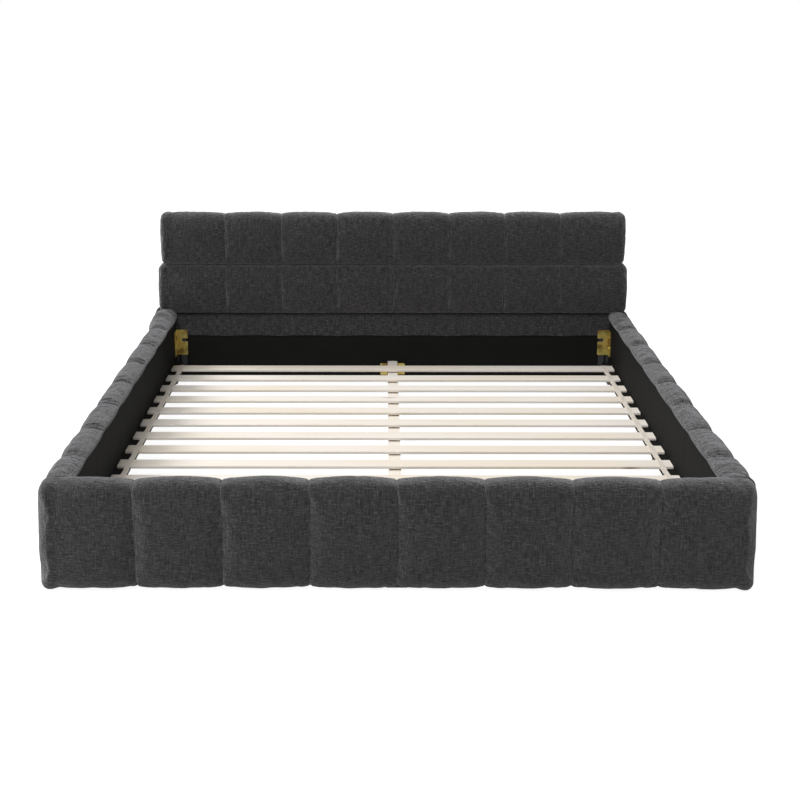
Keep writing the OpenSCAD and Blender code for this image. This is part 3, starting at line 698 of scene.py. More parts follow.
def puff_up(pad, pressure=PUFF_PRESSURE, cap=PUFF_CAP):
    before = coordinates(pad)
    select_only(pad)
    bpy.ops.object.modifier_add(type="CLOTH")
    cloth = pad.modifiers[-1]
    settings = cloth.settings
    settings.quality = 4
    settings.mass = 0.3
    settings.tension_stiffness = settings.compression_stiffness = 12
    settings.shear_stiffness = 4
    settings.bending_stiffness = 0.6
    settings.use_pressure = True
    settings.uniform_pressure_force = pressure
    settings.shrink_min = -EXTRA_CLOTH
    settings.vertex_group_mass = "held"
    settings.effector_weights.gravity = 0
    cloth.collision_settings.use_collision = False
    cloth.collision_settings.use_self_collision = False
    cloth.point_cache.frame_start = 1
    cloth.point_cache.frame_end = PUFF_FRAMES
    for step in range(1, PUFF_FRAMES + 1):
        bpy.context.scene.frame_set(step)
    bpy.ops.object.modifier_apply(modifier=cloth.name)
    bpy.context.scene.frame_set(1)
    after = coordinates(pad)
    moved = after - before
    far = np.linalg.norm(moved, axis=1)
    move_to(pad, before + moved * np.minimum(1, cap / np.maximum(far, 1e-9))[:, None])
    print(pad.name, "swelled by up to", round(far.max() / MM, 1), "mm")


def subdivide(pad):
    select_only(pad)
    bpy.ops.object.modifier_add(type="SUBSURF")
    pad.modifiers[-1].levels = pad.modifiers[-1].render_levels = 1
    apply_modifiers(pad)


def shade_soft(piece, angle=40):
    select_only(piece)
    bpy.ops.object.shade_smooth_by_angle(angle=math.radians(angle))


# %% [markdown]
# Beside each seam the fabric gathers into a few low folds that run along the seam, fade out
# over a hand's breadth and come and go along it. They are pushed out of the finished surface
# along its normals, together with the slow unevenness of the foam below. A seam can also be
# pulled down further where it crosses the top of a pad. Where the cover is loose, fine creases
# run the same way all over it: they lie where a noise crosses zero.

# %% Folds beside the seams
DIP_WIDTH = 22 * MM
# Each fold's distance from the seam, its width and its share of the full height
FOLDS = ((11 * MM, 5 * MM, 1.0), (25 * MM, 7 * MM, 0.75), (43 * MM, 10 * MM, 0.5))
FOLD_DRIFT = 6 * MM


def vertex_normals(piece):
    normals = np.zeros(len(piece.data.vertices) * 3)
    piece.data.vertices.foreach_get("normal", normals)
    return normals.reshape(-1, 3)


def held_shares(pad):
    """How much each vertex is held, from the pad's vertex group."""
    shares = np.zeros(len(pad.data.vertices))
    for index, vertex in enumerate(pad.data.vertices):
        for entry in vertex.groups:
            shares[index] = entry.weight
    return shares


def gather(pad, seams, fold_height, unevenness, axis=0, seed=0.0, creases=0.0, dip=0.0):
    points, normals, held = coordinates(pad), vertex_normals(pad), held_shares(pad)
    lift = np.zeros(len(points))
    inner_seams = np.array(seams[1:-1])
    for index, point in enumerate(points):
        gap = point[axis] - inner_seams
        nearest = int(np.argmin(np.abs(gap)))
        side = 1.0 if gap[nearest] > 0 else -1.0
        distance = abs(gap[nearest])
        other, up = (point[k] for k in range(3) if k != axis)
        for place, width, height in FOLDS:
            if distance < place + 3 * width:
                key = Vector((other * 11 + nearest * 5.3, up * 11 + side * 2.7, seed + place * 300))
                strength = max(0.0, noise.noise(key) * 1.6 + 0.25)
                shift = noise.noise(key * 0.7 + Vector((9, 4, 1))) * FOLD_DRIFT
                lift[index] += fold_height * height * strength * math.exp(
                    -((distance - place - shift) / width) ** 2)
        lift[index] -= dip * max(0.0, normals[index][2]) * math.exp(-(distance / DIP_WIDTH) ** 2)
        lift[index] += unevenness * noise.noise(Vector(point) * 9 + Vector((seed, 0, 0)))
        lift[index] += unevenness * 0.4 * noise.noise(Vector(point) * 26 + Vector((0, seed, 0)))
        if creases:
            crease = noise.noise(Vector((other * 7, point[axis] * 40, up * 7 + seed)))
            slack = 0.7 + noise.noise(Vector((other * 9, point[axis] * 9, seed)))
            lift[index] -= creases * slack * max(0.0, 1 - 4 * abs(crease))
    move_to(pad, points + normals * (lift * (1 - held))[:, None])


# %% [markdown]
# Wherever a board runs through a pad, the pad has a pocket of the board's shape. A block is
# placed over the board and taken out of the pad with a Boolean, the way the real pad is wrapped
# round the board.

# %% Pockets for the boards
POCKET_PLAY = 0.4 * MM


def take_out(pad, cutter):
    """Takes a closed shape out of a pad, and the shape out of the scene."""
    select_only(pad)
    bpy.ops.object.modifier_add(type="BOOLEAN")
    pocket = pad.modifiers[-1]
    pocket.operation = "DIFFERENCE"
    pocket.solver = "MANIFOLD"
    pocket.object = cutter
    bpy.ops.object.modifier_apply(modifier=pocket.name)
    bpy.data.objects.remove(cutter)


def cut_block(pad, corner_low, corner_high):
    """Takes a block between two corners out of a pad."""
    size = [b - a for a, b in zip(corner_low, corner_high)]
    centre = [(a + b) / 2 for a, b in zip(corner_low, corner_high)]
    select_only()
    bpy.ops.mesh.primitive_cube_add(size=1, location=centre, scale=size)
    block = bpy.context.object
    settle(block)
    take_out(pad, block)


def cut_shape(pad, solid, play):
    """Takes the shape of another piece out of a pad, a little enlarged."""
    cutter = solid.copy()
    cutter.data = solid.data.copy()
    bpy.context.collection.objects.link(cutter)
    move_to(cutter, coordinates(cutter) + vertex_normals(cutter) * play)
    take_out(pad, cutter)


def dress_pad(pad, node, cloth=None):
    """Material, shading and the facts that the frame needs about a pad."""
    pad.data.materials.clear()
    pad.data.materials.append(cloth or cover)
    shade_soft(pad)
    settle(pad)
    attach(pad, "root")
    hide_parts(node)
    print(pad.name, "has", len(pad.data.polygons), "faces")


# %% [markdown]
# ### The end pad
# The end pad wraps the end board: thick on the front, thinner over the top, and turned in as a
# short soft lip behind. It is the widest piece and ends in round corners. Its two outer puffs
# are a little wider than the six between them. Its crest falls a little to the corners, and its
# ends spread a little at the foot.

# %% The section of a pad on a board
PUFFS = 8
SECTION_STEP = 11 * MM
SWELL = 7 * MM
CROWN = 4 * MM
LIP_FOLD = 4 * MM
HELD_REACH = 30 * MM
WOBBLE = 6 * MM


def crowned(outline, outward_by, up_by):
    """Bulges each face of an outline, most in the middle of the face."""
    centre = (outline.max(0) + outline.min(0)) / 2
    half = (outline.max(0) - outline.min(0)) / 2
    share = (outline - centre) / half
    return outline + np.array([outward_by, up_by]) * share * (1 - share[:, ::-1] ** 2)


def board_pad_section(outer, board, inner, bottom, lip_z, top, radius, inner_radius, arch):
    """Outline of a pad that wraps a board, from distances out of the bed and from heights."""
    tight = 2 * MM
    corners = [(outer, bottom, radius), (board, bottom + tight, tight), (board, lip_z, tight),
               (inner, lip_z, LIP_FOLD), (inner, top, inner_radius), (outer, top, radius)]
    outline = rounded_outline(corners, SECTION_STEP)
    held = (outline[:, 0] < board + 4 * MM) & (outline[:, 1] < lip_z + 3 * MM)
    loose = free_share(outline, held, HELD_REACH)
    heart = ((outer + board) / 2, lip_z + 2 * LIP_FOLD)
    return outline + (crowned(outline, CROWN, arch) - outline) * loose[:, None], loose, heart


# %% End pad
BOARD_CHANNEL = 15 * MM
CREST_DROP, BOTTOM_DROP = 6 * MM, 4 * MM
SPREAD = 5 * MM
END_RADIUS = 26 * MM
PAD_RADIUS = 34 * MM
OUTER_PUFF = 291 * MM


def even_places(start, stop, count):
    return [start + (stop - start) * i / count for i in range(count + 1)]


def wide_seams(start, stop, last):
    """Seams with even puffs between -last and last, and a wider puff at each end."""
    return [start] + even_places(-last, last, PUFFS - 2) + [stop]


def end_pad():
    bottom, top = low("end_pad"), high("end_pad")
    board_low, board_high = low("end_board"), high("end_board")
    lip_z = high("end_lining").z + POCKET_PLAY
    outline, loose, heart = board_pad_section(
        -bottom.y - SWELL, -(board_low.y + board_high.y) / 2, -top.y, bottom.z, lip_z,
        top.z - SWELL, PAD_RADIUS, PAD_RADIUS, CROWN)
    seams = wide_seams(bottom.x + SWELL, top.x - SWELL, top.x - OUTER_PUFF)
    rings = pad_rings(seams, END_RADIUS)
    pad = wrap_pad("pad_end", outline, loose, rings, BOARD_CHANNEL, side=-1, wobble=WOBBLE,
                   heart=heart)
    puff_up(pad)
    subdivide(pad)
    gather(pad, seams, 1.0 * MM, 1.2 * MM, seed=1.7)
    points = coordinates(pad)
    outer = np.abs(points[:, 0] / top.x) ** 3
    height = np.clip(points[:, 2] / top.z, 0, 1)
    points[:, 2] -= (CREST_DROP * height ** 2 + BOTTOM_DROP * (1 - height) ** 4) * outer
    foot = np.clip((np.abs(points[:, 0]) - top.x + 0.4 * OUTER_PUFF) / (0.4 * OUTER_PUFF), 0, 1)
    points[:, 0] += np.sign(points[:, 0]) * SPREAD * foot * (1 - height / 0.6)
    move_to(pad, points)
    cut_block(pad, (board_low.x - POCKET_PLAY, board_low.y - POCKET_PLAY, -1),
              (board_high.x + POCKET_PLAY, board_high.y + POCKET_PLAY, board_high.z + POCKET_PLAY))
    for sign in (-1, 1):
        reach = sorted((sign * (low("side_pad_right").x - POCKET_PLAY), sign * 2))
        cut_block(pad, (reach[0], board_high.y - POCKET_PLAY, -1), (reach[1], 0, 1))
    dress_pad(pad, "end_pad")


end_pad()


# %% [markdown]
# ### The headboard's rolls
# Two rolls lie one above the other on the headboard's frame. They are fuller than the board
# pads, the crease between them is narrow and dark, and their upright seams are shallow. They
# press together there, so each reaches a little past the line where they meet. The cover turns
# round the frame's ends and over its back, where the black back cloth leaves a border of it.

# %% Rolls
ROLL_CHANNEL = 12 * MM
ROLL_SET_BACK = 24 * MM
ROLL_TOP_DROP = 11 * MM
ROLL_END = 3 * MM
ROLL_PRESS = 3 * MM
ROLL_RADIUS = 18 * MM
ROLL_FOOT_RADIUS = 11 * MM
ROLL_TOP_RADIUS = 26 * MM
ROLL_FLAT = 20 * MM
ROLL_BACK_RADIUS = 5 * MM
ROLL_CROWN = 26 * MM
BACK_TURN = 40 * MM
ROLL_UNDER = 20 * MM
SKIN = 2 * MM
HELD_BELOW_PANEL_TOP = 4 * MM
FAR = 2


def roll(name, node, over_top):
    bottom, top = low(node), high(node)
    frame_low, frame_high = low("headboard_panel"), high("headboard_back_cloth")
    front, z_low, z_high = bottom.y + ROLL_SET_BACK, bottom.z, top.z + ROLL_PRESS
    lower, upper, back = ROLL_FOOT_RADIUS, ROLL_RADIUS, ROLL_BACK_RADIUS
    if over_top:
        z_low, z_high = z_low - ROLL_PRESS, top.z - ROLL_TOP_DROP
        lower, upper, back = ROLL_RADIUS, ROLL_TOP_RADIUS, ROLL_TOP_RADIUS
    corners = [(front, z_low, lower), (front, z_high, upper),
               (top.y, z_high, back), (top.y, z_low, ROLL_BACK_RADIUS)]
    outline = rounded_outline(corners, SECTION_STEP)
    held = outline[:, 0] > frame_low.y - ROLL_FLAT if not over_top else (
        (outline[:, 0] > frame_low.y - ROLL_FLAT) & (outline[:, 1] < z_low + ROLL_UNDER)) | (
        (outline[:, 0] > top.y - SKIN)
        & (outline[:, 1] < high("headboard_panel").z - HELD_BELOW_PANEL_TOP))
    loose = free_share(outline, held, HELD_REACH)
    front_share = np.clip((frame_low.y - outline[:, :1]) / (frame_low.y - front), 0, 1)
    outline = outline + (crowned(outline, ROLL_CROWN, 0) - outline) * front_share
    last = high("headboard_top_roll").x - OUTER_PUFF
    seams = wide_seams(bottom.x + ROLL_END, top.x - ROLL_END, last)
    pad = wrap_pad("pad_" + name, outline, loose, pad_rings(seams, END_RADIUS), ROLL_CHANNEL,
                   wobble=4 * MM)
    puff_up(pad, cap=6 * MM)
    subdivide(pad)
    gather(pad, seams, 1.0 * MM, 1.8 * MM, seed=6.1 if over_top else 8.3, creases=1.6 * MM)
    frame_top = frame_low.z + FAR if not over_top else high("headboard_panel").z + POCKET_PLAY
    cut_block(pad, (frame_low.x - POCKET_PLAY, frame_low.y - POCKET_PLAY, -1),
              (-frame_low.x + POCKET_PLAY, frame_high.y + POCKET_PLAY, frame_top))
    cut_block(pad, (frame_low.x + BACK_TURN, frame_low.y - POCKET_PLAY, -1),
              (-frame_low.x - BACK_TURN, FAR, frame_top - BACK_TURN))
    dress_pad(pad, node)


roll("roll_lower", "headboard_lower_roll", False)
roll("roll_top", "headboard_top_roll", True)


# %% [markdown]
# ### The side pads
# Each side pad wraps its board in the same way as the end pad does, with a narrow lip, and its
# flat ends butt against the end pad and the headboard. A short puff starts at the end board, and
# seven even ones run up to the headboard, where the last one is squeezed up against the lower
# roll: it takes the roll's shape where the two press together.

# %% Side pads
SHORT_PUFF = 222 * MM
BUTT_RADIUS = 7 * MM
INNER_RADIUS = 16 * MM
RISE, RISE_LEAN = 20 * MM, 6 * MM
PUSH, PUSH_LEAN = 10 * MM, 8 * MM
FOOT_PUSH, FOOT_LENGTH = 9 * MM, 700 * MM
OUTER_SWELL = -4 * MM
RAIL_CHANNEL = 12 * MM
RAIL_DIP = 9 * MM
RAIL_ARCH = 9 * MM
RAIL_RADIUS = 23 * MM
LIP_BULGE = 5 * MM
RISE_LENGTH = 190 * MM
RISE_FADE, PUSH_FADE = 20 * MM, 30 * MM
PUFF_SWELL, LIP_FADE = 110 * MM, 8 * MM


def press_up(pad, roll_y, rise):
    """Lifts the crest of the last puff, as the headboard does."""
    points = coordinates(pad)
    near = np.clip((points[:, 1] - roll_y + RISE_LENGTH) / RISE_LENGTH, 0, 1)
    upper = np.clip((points[:, 2] - high("side_board_right").z) / RISE_FADE, 0, 1)
    points[:, 2] += rise * smooth(near) * upper
    move_to(pad, points)


def push_out(pad, end_y, length, push):
    """Pushes the outer side of a side pad out towards one of its ends."""
    points = coordinates(pad)
    near = np.clip(1 - np.abs(points[:, 1] - end_y) / length, 0, 1)
    outer = np.clip((np.abs(points[:, 0]) - high("side_board_right").x) / PUSH_FADE, 0, 1)
    points[:, 0] += np.sign(points[:, 0]) * push * smooth(near) * outer
    move_to(pad, points)


def bulge_in(pad, seams, sign):
    """Lets each puff's inner edge swell towards the bed, between its seams."""
    points = coordinates(pad)
    gaps = np.abs(points[:, 1][:, None] - np.array(seams)[None, :]).min(1)
    swell = np.sin(np.clip(gaps / PUFF_SWELL, 0, 1) * math.pi / 2)
    inner = np.clip((low("side_board_right").x - sign * points[:, 0]) / LIP_FADE, 0, 1)
    points[:, 0] -= sign * LIP_BULGE * swell * inner
    move_to(pad, points)


def side_pad(name, sign):
    bottom, top = low("side_pad_right"), high("side_pad_right")
    board_low, board_high = low("side_board_right"), high("side_board_right")
    lip_z = high("side_lining_right").z + POCKET_PLAY
    outline, loose, heart = board_pad_section(
        top.x - OUTER_SWELL, (board_low.x + board_high.x) / 2, bottom.x, bottom.z, lip_z,
        top.z - SWELL - CREST_DROP, RAIL_RADIUS, INNER_RADIUS, RAIL_ARCH)
    start, stop = bottom.y + POCKET_PLAY, top.y - POCKET_PLAY
    seams = [start] + even_places(start + SHORT_PUFF, stop, PUFFS - 1)
    pad = wrap_pad("pad_side_" + name, outline, loose, pad_rings(seams, BUTT_RADIUS),
                   RAIL_CHANNEL, axes=(1, 0, 2), side=sign, wobble=WOBBLE, heart=heart)
    puff_up(pad)
    subdivide(pad)
    gather(pad, seams, 2.8 * MM, 3.2 * MM, axis=1, seed=sign * 3.3, creases=4.6 * MM,
           dip=RAIL_DIP)
    bulge_in(pad, seams, sign)
    roll_y = low("headboard_lower_roll").y
    press_up(pad, roll_y, RISE - sign * RISE_LEAN)
    push_out(pad, roll_y, RISE_LENGTH, PUSH - sign * PUSH_LEAN)
    push_out(pad, bottom.y, FOOT_LENGTH, FOOT_PUSH * (1 + sign) / 2)
    reach = sorted((sign * (board_low.x - POCKET_PLAY), sign * (board_high.x + POCKET_PLAY)))
    cut_block(pad, (reach[0], -FAR, -1), (reach[1], FAR, board_high.z + POCKET_PLAY))
    cut_shape(pad, bpy.data.objects["pad_roll_lower"], POCKET_PLAY)
    dress_pad(pad, "side_pad_" + name, loose_painted_cover)


side_pad("left", -1)
side_pad("right", 1)


# %% [markdown]
# Below the rolls a plain strip of the cover closes the gap to the mattress, and a padded cover
# hides each end of the frame. The strip's lower edge hangs in shallow waves between its staples.

# %% Strip and side covers below the rolls
STRIP_WAVES = 8
WAVE_RISE = 4 * MM
STRIP_STEP = 12 * MM
STRIP_EDGE = 1.8 * MM
STRIP_RIPPLE, STRIP_BILLOW = 1.1 * MM, 0.6 * MM
COVER_RADIUS = 16 * MM


def strip():
    bottom, top = low("headboard_strip"), high("headboard_strip")
    corners = [(bottom.y, bottom.z, STRIP_EDGE), (bottom.y, top.z, STRIP_EDGE),
               (top.y, top.z, STRIP_EDGE), (top.y, bottom.z, STRIP_EDGE)]
    outline = rounded_outline(corners, 6 * MM)
    count = round((top.x - bottom.x) / STRIP_STEP)
    places = [bottom.x + (top.x - bottom.x) * i / count for i in range(count + 1)]
    rings = ([(bottom.x, 1.0, 0.0, share) for share in (0.0, 0.5)]
             + [(place, 1.0, 0.0, 1.0) for place in places]
             + [(top.x, 1.0, 0.0, share) for share in (0.5, 0.0)])
    piece = wrap_pad("strip_head", outline, np.zeros(len(outline)), rings, 0)
    subdivide(piece)
    points = coordinates(piece)
    for point in points:
        share = (point[2] - bottom.z) / (top.z - bottom.z)
        wave = abs(math.sin(math.pi * STRIP_WAVES * (point[0] - bottom.x) / (top.x - bottom.x)))
        point[2] += WAVE_RISE * wave * max(0.0, 1 - share) ** 2
        if point[1] < (bottom.y + top.y) / 2:
            ripple = noise.noise(Vector((point[0] * 45, point[2] * 4, 7)))
            billow = STRIP_BILLOW * wave * (1 - share)
            point[1] -= STRIP_RIPPLE * max(0.0, ripple) + billow
    move_to(piece, points)
    dress_pad(piece, "headboard_strip")


def side_cover(name, sign):
    node = "headboard_side_cover_" + name
    bottom, top = low("headboard_side_cover_right"), high("headboard_side_cover_right")
    frame_low, frame_high = low("headboard_panel"), high("headboard_back_cloth")
    corners = [(bottom.x, bottom.y, 2 * MM), (top.x - MM, bottom.y, COVER_RADIUS),
               (top.x - MM, top.y, COVER_RADIUS), (bottom.x, top.y, 2 * MM)]
    outline = rounded_outline(corners, 8 * MM)
    loose = free_share(outline, outline[:, 0] < -frame_low.x, 20 * MM)
    rings = pad_rings([bottom.z, top.z], 12 * MM)
    cover_pad = wrap_pad("cover_" + name, outline, loose, rings, 0, axes=(2, 0, 1), side=sign)
    puff_up(cover_pad, pressure=2, cap=2 * MM)
    subdivide(cover_pad)
    gather(cover_pad, [bottom.z, (bottom.z + top.z) / 2, top.z], 0, 1.5 * MM, axis=2, seed=sign)
    reach = sorted((0, sign * (-frame_low.x + POCKET_PLAY)))
    cut_block(cover_pad, (reach[0], low("headboard_front_cloth").y - POCKET_PLAY, -1),
              (reach[1], frame_high.y + POCKET_PLAY, 1))
    dress_pad(cover_pad, node)


strip()
side_cover("left", -1)
side_cover("right", 1)


# %% [markdown]
# ## Cloths
# Black cloth lines the boards inside, wraps the ledges that carry the slats, and closes the
# headboard's front below the strip and its whole back. Each is a flat sheet pulled tight, so it
# is a grid that follows a line in section, with low ripples, and Solidify gives it its thickness.

# %% A stretched sheet along one axis
SHEET_T = 0.8 * MM
SHEET_STEP = 14 * MM
SHEET_ANGLE = 50


def walk(section, step):
    """Points along a broken line, at most a step apart, and the distance walked to each."""
    points = [np.array(section[0], float)]
    for here, there in zip(section[:-1], section[1:]):
        here, there = np.array(here, float), np.array(there, float)
        count = max(1, round(float(np.linalg.norm(there - here)) / step))
        points += [here + (there - here) * (i + 1) / count for i in range(count)]
    points = np.array(points)
    gaps = np.linalg.norm(np.diff(points, axis=0), axis=1)
    return points, np.concatenate([[0], np.cumsum(gaps)])


def thicken(piece, thickness):
    """Gives a flat sheet its thickness, evenly to both sides."""
    select_only(piece)
    bpy.ops.object.modifier_add(type="SOLIDIFY")
    piece.modifiers[-1].thickness = thickness
    piece.modifiers[-1].offset = 0
    apply_modifiers(piece)
    turn_outwards(piece)
    shade_soft(piece, SHEET_ANGLE)


def sheet(name, section, start, stop, axes, ripple=None):
    """A sheet from start to stop along the first of the axes, with a broken line as section."""
    points, walked = walk(section, SHEET_STEP)
    rows = round((stop - start) / SHEET_STEP)
    piece, column, row = flat_grid(name, len(points) - 1, rows)
    along = start + (stop - start) * row / rows
    placed = np.zeros((len(row), 3))
    placed[:, axes[0]] = along
    placed[:, axes[1]], placed[:, axes[2]] = points[column, 0], points[column, 1]
    if ripple is not None:
        placed = np.array([ripple(point) for point in placed])
    move_to(piece, placed)
    cloth_map(piece, along, walked[column])
    thicken(piece, SHEET_T)
    return piece, float(walked[-1]), float(stop - start)


def dress_sheet(made, node, material):
    """Material and the facts that the frame needs about a sheet."""
    piece, width, length = made
    piece.data.materials.clear()
    piece.data.materials.append(material)
    settle(piece)
    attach(piece, "root")
    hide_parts(node)
    print(piece.name, "is cut", round(width / MM), "by", round(length / MM), "mm")


# %% Linings of the side boards and of the ledges
HEM = 6 * MM
RIPPLE = 1.0 * MM
RIPPLE_FADE, SAG_FADE = 30 * MM, 60 * MM


def side_lining(name, sign):
    node, ledge = "side_lining_" + name, "ledge_" + name
    bottom, top = low("side_lining_right"), high("side_lining_right")
    face, ledge_top = top.x - SHEET_T / 2, high(ledge).z
    ledge_in, ledge_low = low("ledge_right").x, low(ledge).z

    def streaks(point):
        free = min(1.0, max(0.0, (point[2] - ledge_top) / RIPPLE_FADE))
        wave = noise.noise(Vector((point[1] * 22, point[2] * 3, sign * 5.0)))
        point[0] -= sign * RIPPLE * max(0.0, wave) * free
        return point

    board_cloth = sheet("lining_" + name, [(sign * face, bottom.z), (sign * face, top.z)],
                        bottom.y + MM, top.y - MM, (1, 0, 2), ripple=streaks)
    dress_sheet(board_cloth, node, lining)
    over, front = ledge_top + SHEET_T / 2, ledge_in - SHEET_T / 2
    round_off = 2 * MM
    section = [(sign * (face - SHEET_T), over), (sign * (front + round_off), over),
               (sign * (front + 0.6 * MM), over - 0.6 * MM), (sign * front, over - round_off),
               (sign * front, ledge_low + HEM)]
    ledge_cloth = sheet("ledge_cloth_" + name, section, low(ledge).y, high(ledge).y, (1, 0, 2))
    dress_sheet(ledge_cloth, node, lining)


side_lining("left", -1)
side_lining("right", 1)


# %% Lining of the end board and cloths of the headboard
def flat_cloth(name, node, y, seed):
    bottom, top = low(node), high(node)

    def sag(point):
        edge = min(point[0] - bottom.x, top.x - point[0], point[2] - bottom.z, top.z - point[2])
        free = min(1.0, max(0.0, edge / SAG_FADE))
        wave = noise.noise(Vector((point[0] * 5, point[2] * 6, seed)))
        point[1] += RIPPLE * 0.3 * wave * free
        return point

    made = sheet(name, [(y, bottom.z), (y, top.z)], bottom.x + MM, top.x - MM, (0, 1, 2),
                 ripple=sag)
    dress_sheet(made, node, lining)


def middle_y(node):
    return (low(node).y + high(node).y) / 2


flat_cloth("lining_end", "end_lining", middle_y("end_lining"), 2.0)
flat_cloth("cloth_head_front", "headboard_front_cloth", middle_y("headboard_front_cloth"),
           4.0)
flat_cloth("cloth_head_back", "headboard_back_cloth", middle_y("headboard_back_cloth"),
           6.0)


# %% [markdown]
# ## The webbing tapes
# Two tapes run over the slats near the ledges and keep them evenly spaced. Each is stapled to
# every slat and hangs a little between two of them. The weave is a herringbone of thick,
# unbleached cotton.

# %% Webbing finish
WEBBING_PALE = (0.90, 0.83, 0.73)
WEBBING_SHADE = (0.80, 0.71, 0.61)
RIB, HERRINGBONE = 2.4 * MM, 10 * MM


def webbing():
    finish = Finish("webbing_unbleached", Roughness=0.9, Specular_IOR_Level=0.2, Sheen_Weight=0.1)
    place = finish.cloth_place()
    along, across, _ = finish.parts(place)
    zigzag = (across * (math.tau / HERRINGBONE)).sine().absolute() * 3
    ribs = (along * (math.tau / RIB) + zigzag).sine()
    tufts = finish.noise(place, 420, 3, 0.6)
    stains = finish.noise(place, 30, 2)
    colour = finish.blend((ribs * -0.25 + tufts * 0.7 + stains * 0.4).ramp(0.2, 0.9),
                          WEBBING_PALE, WEBBING_SHADE)
    return finish.use(Base_Color=colour, Normal=finish.bump(ribs + tufts, 0.5 * MM, 0.8))


tape_cloth = webbing()


# %% Tapes
TAPE_T = 1.1 * MM
TAPE_SAG = 3 * MM
TAPE_SWAY = 1.2 * MM
TAPE_LIFT = 0.05 * MM
TAPE_COLUMNS, TAPE_STEP = 6, 12 * MM
SLATS = ["slat_%02d" % i for i in range(13, 0, -1)]


def tape_line():
    """The line of a tape from the end board to the headboard, as (y, z)."""
    lift = TAPE_T / 2 + TAPE_LIFT
    line = []
    for slat, after in zip(SLATS, SLATS[1:] + [None]):
        top = high(slat).z + lift
        line += [(low(slat).y + MM, top), (high(slat).y - MM, top)]
        if after:
            gap = low(after).y - high(slat).y
            line += [(high(slat).y + gap * share, top - TAPE_SAG * math.sin(math.pi * share))
                     for share in (0.15, 0.32, 0.5, 0.68, 0.85)]
    return line


def tape(name, sign):
    node = "slat_tape_" + name
    bottom, top = low("slat_tape_right"), high("slat_tape_right")
    points, walked = walk(tape_line(), TAPE_STEP)
    piece, column, row = flat_grid("tape_" + name, TAPE_COLUMNS, len(points) - 1)
    width = top.x - bottom.x
    across = width * column / TAPE_COLUMNS
    sway = np.array([noise.noise(Vector((w * 5, sign * 9.0, 0))) for w in walked]) * TAPE_SWAY
    placed = np.zeros((len(row), 3))
    placed[:, 0] = sign * (bottom.x + across) + sway[row]
    placed[:, 1], placed[:, 2] = points[row, 0], points[row, 1]
    move_to(piece, placed)
    cloth_map(piece, walked[row], across)
    thicken(piece, TAPE_T)
    dress_sheet((piece, width, float(walked[-1])), node, tape_cloth)


tape("left", -1)
tape("right", 1)


# %% [markdown]
# ## Staples
# Staples hold the tapes to the slats and the back cloth to the frame. A staple is bent from flat
# wire: only its crown shows, with its two ends rounded down into the wood. One is modelled and
# then copied along each row.

# %% Staples
STAPLE_WIDE, STAPLE_WIRE, STAPLE_THICK = 11 * MM, 1.2 * MM, 0.7 * MM
STAPLE_STEP, STAPLE_INSET = 85 * MM, 12 * MM
WIRE_DULL, WIRE_BRIGHT = (0.52, 0.53, 0.55), (0.70, 0.71, 0.72)


def staple_steel():
    finish = Finish("staple_steel", Metallic=0.9, Roughness=0.32)
    place = finish.object_place()
    dull = finish.noise(place, 260, 3, 0.6)
    colour = finish.blend(dull, WIRE_DULL, WIRE_BRIGHT)
    return finish.use(Base_Color=colour, Roughness=0.25 + dull * 0.25,
                      Normal=finish.bump(dull, 0.05 * MM, 0.3))


bright_wire = staple_steel()


def one_staple():
    select_only()
    bpy.ops.mesh.primitive_cube_add(size=1, scale=(STAPLE_WIDE, STAPLE_WIRE, STAPLE_THICK))
    wire = bpy.context.object
    bpy.ops.object.mode_set(mode="EDIT")
    bpy.ops.mesh.select_all(action="SELECT")
    bpy.ops.mesh.bevel(offset=0.25 * MM, segments=2)
    select_only(wire)
    return wire


def staples(name, places, rests, turn):
    """Copies of a staple at the places, each turned by the angles of turn(place)."""
    first = one_staple()
    copies = []
    for place in places:
        copy = first.copy()
        copy.data = first.data.copy()
        bpy.context.collection.objects.link(copy)
        copy.location = place
        copy.rotation_euler = turn(place)
        copies.append(copy)
    bpy.data.objects.remove(first)
    select_only(copies[0])
    for copy in copies:
        copy.select_set(True)
    bpy.ops.object.join()
    row = bpy.context.object
    row.name = name
    row.data.materials.clear()
    row.data.materials.append(bright_wire)
    settle(row)
    shade_soft(row, 30)
    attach(row, "root")
    print(name, "holds", len(copies), "staples on", rests)


def tape_staples():
    bottom, top = low("slat_tape_right"), high("slat_tape_right")
    middle = (bottom.x + top.x) / 2
    places = []
    for sign in (-1, 1):
        for slat in SLATS:
            z = high(slat).z + TAPE_T + STAPLE_THICK * 0.3
            for share in (0.3, 0.7):
                y = low(slat).y + (high(slat).y - low(slat).y) * share
                places.append((sign * middle, y, z))
    staples("staples_tapes", places, "the tapes",
            lambda place: (0, 0, 0.25 * noise.noise(Vector(place) * 40)))


def back_staples():
    bottom, top = low("headboard_back_cloth"), high("headboard_back_cloth")
    y = top.y + STAPLE_THICK * 0.2
    left, right = bottom.x + STAPLE_INSET, top.x - STAPLE_INSET
    under, over = bottom.z + STAPLE_INSET, top.z - STAPLE_INSET
    across = round((right - left) / STAPLE_STEP)
    up = round((over - under) / STAPLE_STEP)
    places = [(left + (right - left) * i / across, y, z)
              for z in (under, over) for i in range(across + 1)]
    places += [(x, y, under + (over - under) * i / up) for x in (left, right) for i in range(1, up)]
    staples("staples_back", places, "the back cloth",
            lambda place: (math.pi / 2, 0.3 * noise.noise(Vector(place) * 30), 0))


tape_staples()
back_staples()


# %% [markdown]
# ## Floor and light
# The bed stands on a white floor that runs on into a white background. To the camera, floor and
# world are white by their own colour, and the floor adds a little real light, so that the bed's
# shadow still darkens it. Everything else sees plain surfaces.

# %% Floor
FLOOR_WHITE = 0.93
FLOOR_LIT = 0.3
FLOOR_PLAIN = 0.6
FLOOR_SIZE = 60


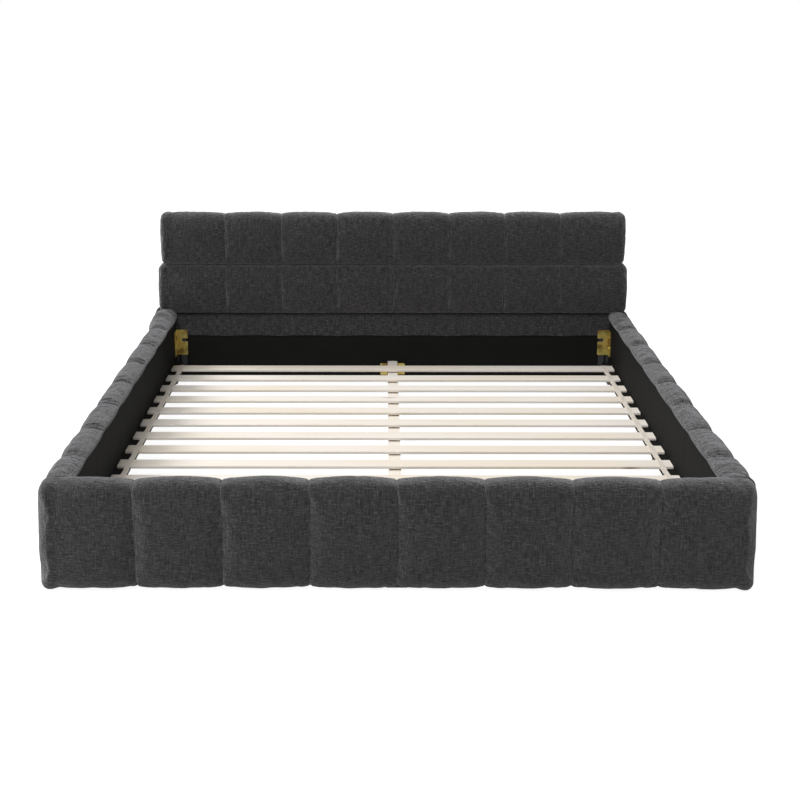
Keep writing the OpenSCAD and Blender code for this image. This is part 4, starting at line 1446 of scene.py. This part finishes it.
def white_floor():
    select_only()
    bpy.ops.mesh.primitive_plane_add(size=FLOOR_SIZE)
    floor = bpy.context.object
    floor.name = "floor"
    finish = Finish("floor_white", Roughness=0.9)
    finish.use(Base_Color=(FLOOR_PLAIN, FLOOR_PLAIN, FLOOR_PLAIN))
    camera_ray, _, _, glossy_ray, _, _, transmission_ray = finish.node("LightPath")[:7]
    seen = camera_ray.larger(glossy_ray).larger(transmission_ray)
    glow = finish.node("Emission", None, {"Color": (1, 1, 1, 1), "Strength": FLOOR_WHITE})[0]
    lit = finish.node("BsdfDiffuse", None, {"Color": (FLOOR_LIT, FLOOR_LIT, FLOOR_LIT, 1)})[0]
    both = finish.node("AddShader", None, {0: glow, 1: lit})[0]
    plain = Wire(finish, finish.shader.outputs[0])
    mixed = finish.node("MixShader", None, {0: seen, 1: plain, 2: both})[0]
    finish.feed(finish.tree.nodes["Material Output"].inputs["Surface"], mixed)
    floor.data.materials.append(finish.material)


white_floor()


# %% World
AMBIENT = 0.27


def white_world():
    world = bpy.data.worlds.new("white_studio")
    bpy.context.scene.world = world
    world.use_nodes = True
    tree = world.node_tree
    path = tree.nodes.new("ShaderNodeLightPath")
    strength = tree.nodes.new("ShaderNodeMapRange")
    strength.inputs["To Min"].default_value = AMBIENT
    strength.inputs["To Max"].default_value = 1.0
    seen = path.outputs["Is Camera Ray"]
    for label in ("Is Glossy Ray", "Is Transmission Ray"):
        either = tree.nodes.new("ShaderNodeMath")
        either.operation = "MAXIMUM"
        tree.links.new(seen, either.inputs[0])
        tree.links.new(path.outputs[label], either.inputs[1])
        seen = either.outputs[0]
    tree.links.new(seen, strength.inputs["Value"])
    tree.links.new(strength.outputs[0], tree.nodes["Background"].inputs["Strength"])
    tree.nodes["Background"].inputs["Color"].default_value = (1, 1, 1, 1)


white_world()


# %% [markdown]
# Two large, soft lamps stand on the left: a key lamp beside the bed and a fill lamp in front of it
# and higher up. In the picture the left edge of the pads is bright and the right lining is the
# lighter one, so the light comes from that side.

# %% Lamps
KEY_PLACE, KEY_TARGET, KEY_SIZE, KEY_WATTS = (-6.5, 2.6, 6.0), (0, 0, 0.2), 3.5, 650
FILL_PLACE, FILL_TARGET, FILL_SIZE, FILL_WATTS = (-2.5, -6.5, 8.0), (0, 0, 0.3), 4.0, 640


def lamp(name, place, target, size, watts):
    """A soft square lamp that points at the target."""
    select_only()
    bpy.ops.object.light_add(type="AREA", location=place)
    light = bpy.context.object
    light.name = name
    light.data.shape = "SQUARE"
    light.data.size = size
    light.data.energy = watts
    light.rotation_euler = (Vector(target) - Vector(place)).to_track_quat("-Z", "Y").to_euler()


lamp("lamp_key", KEY_PLACE, KEY_TARGET, KEY_SIZE, KEY_WATTS)
lamp("lamp_fill", FILL_PLACE, FILL_TARGET, FILL_SIZE, FILL_WATTS)

# %% [markdown]
# Last, the scene is set to show its colours through the Standard view transform.

# %% View transform
bpy.context.scene.view_settings.view_transform = "Standard"
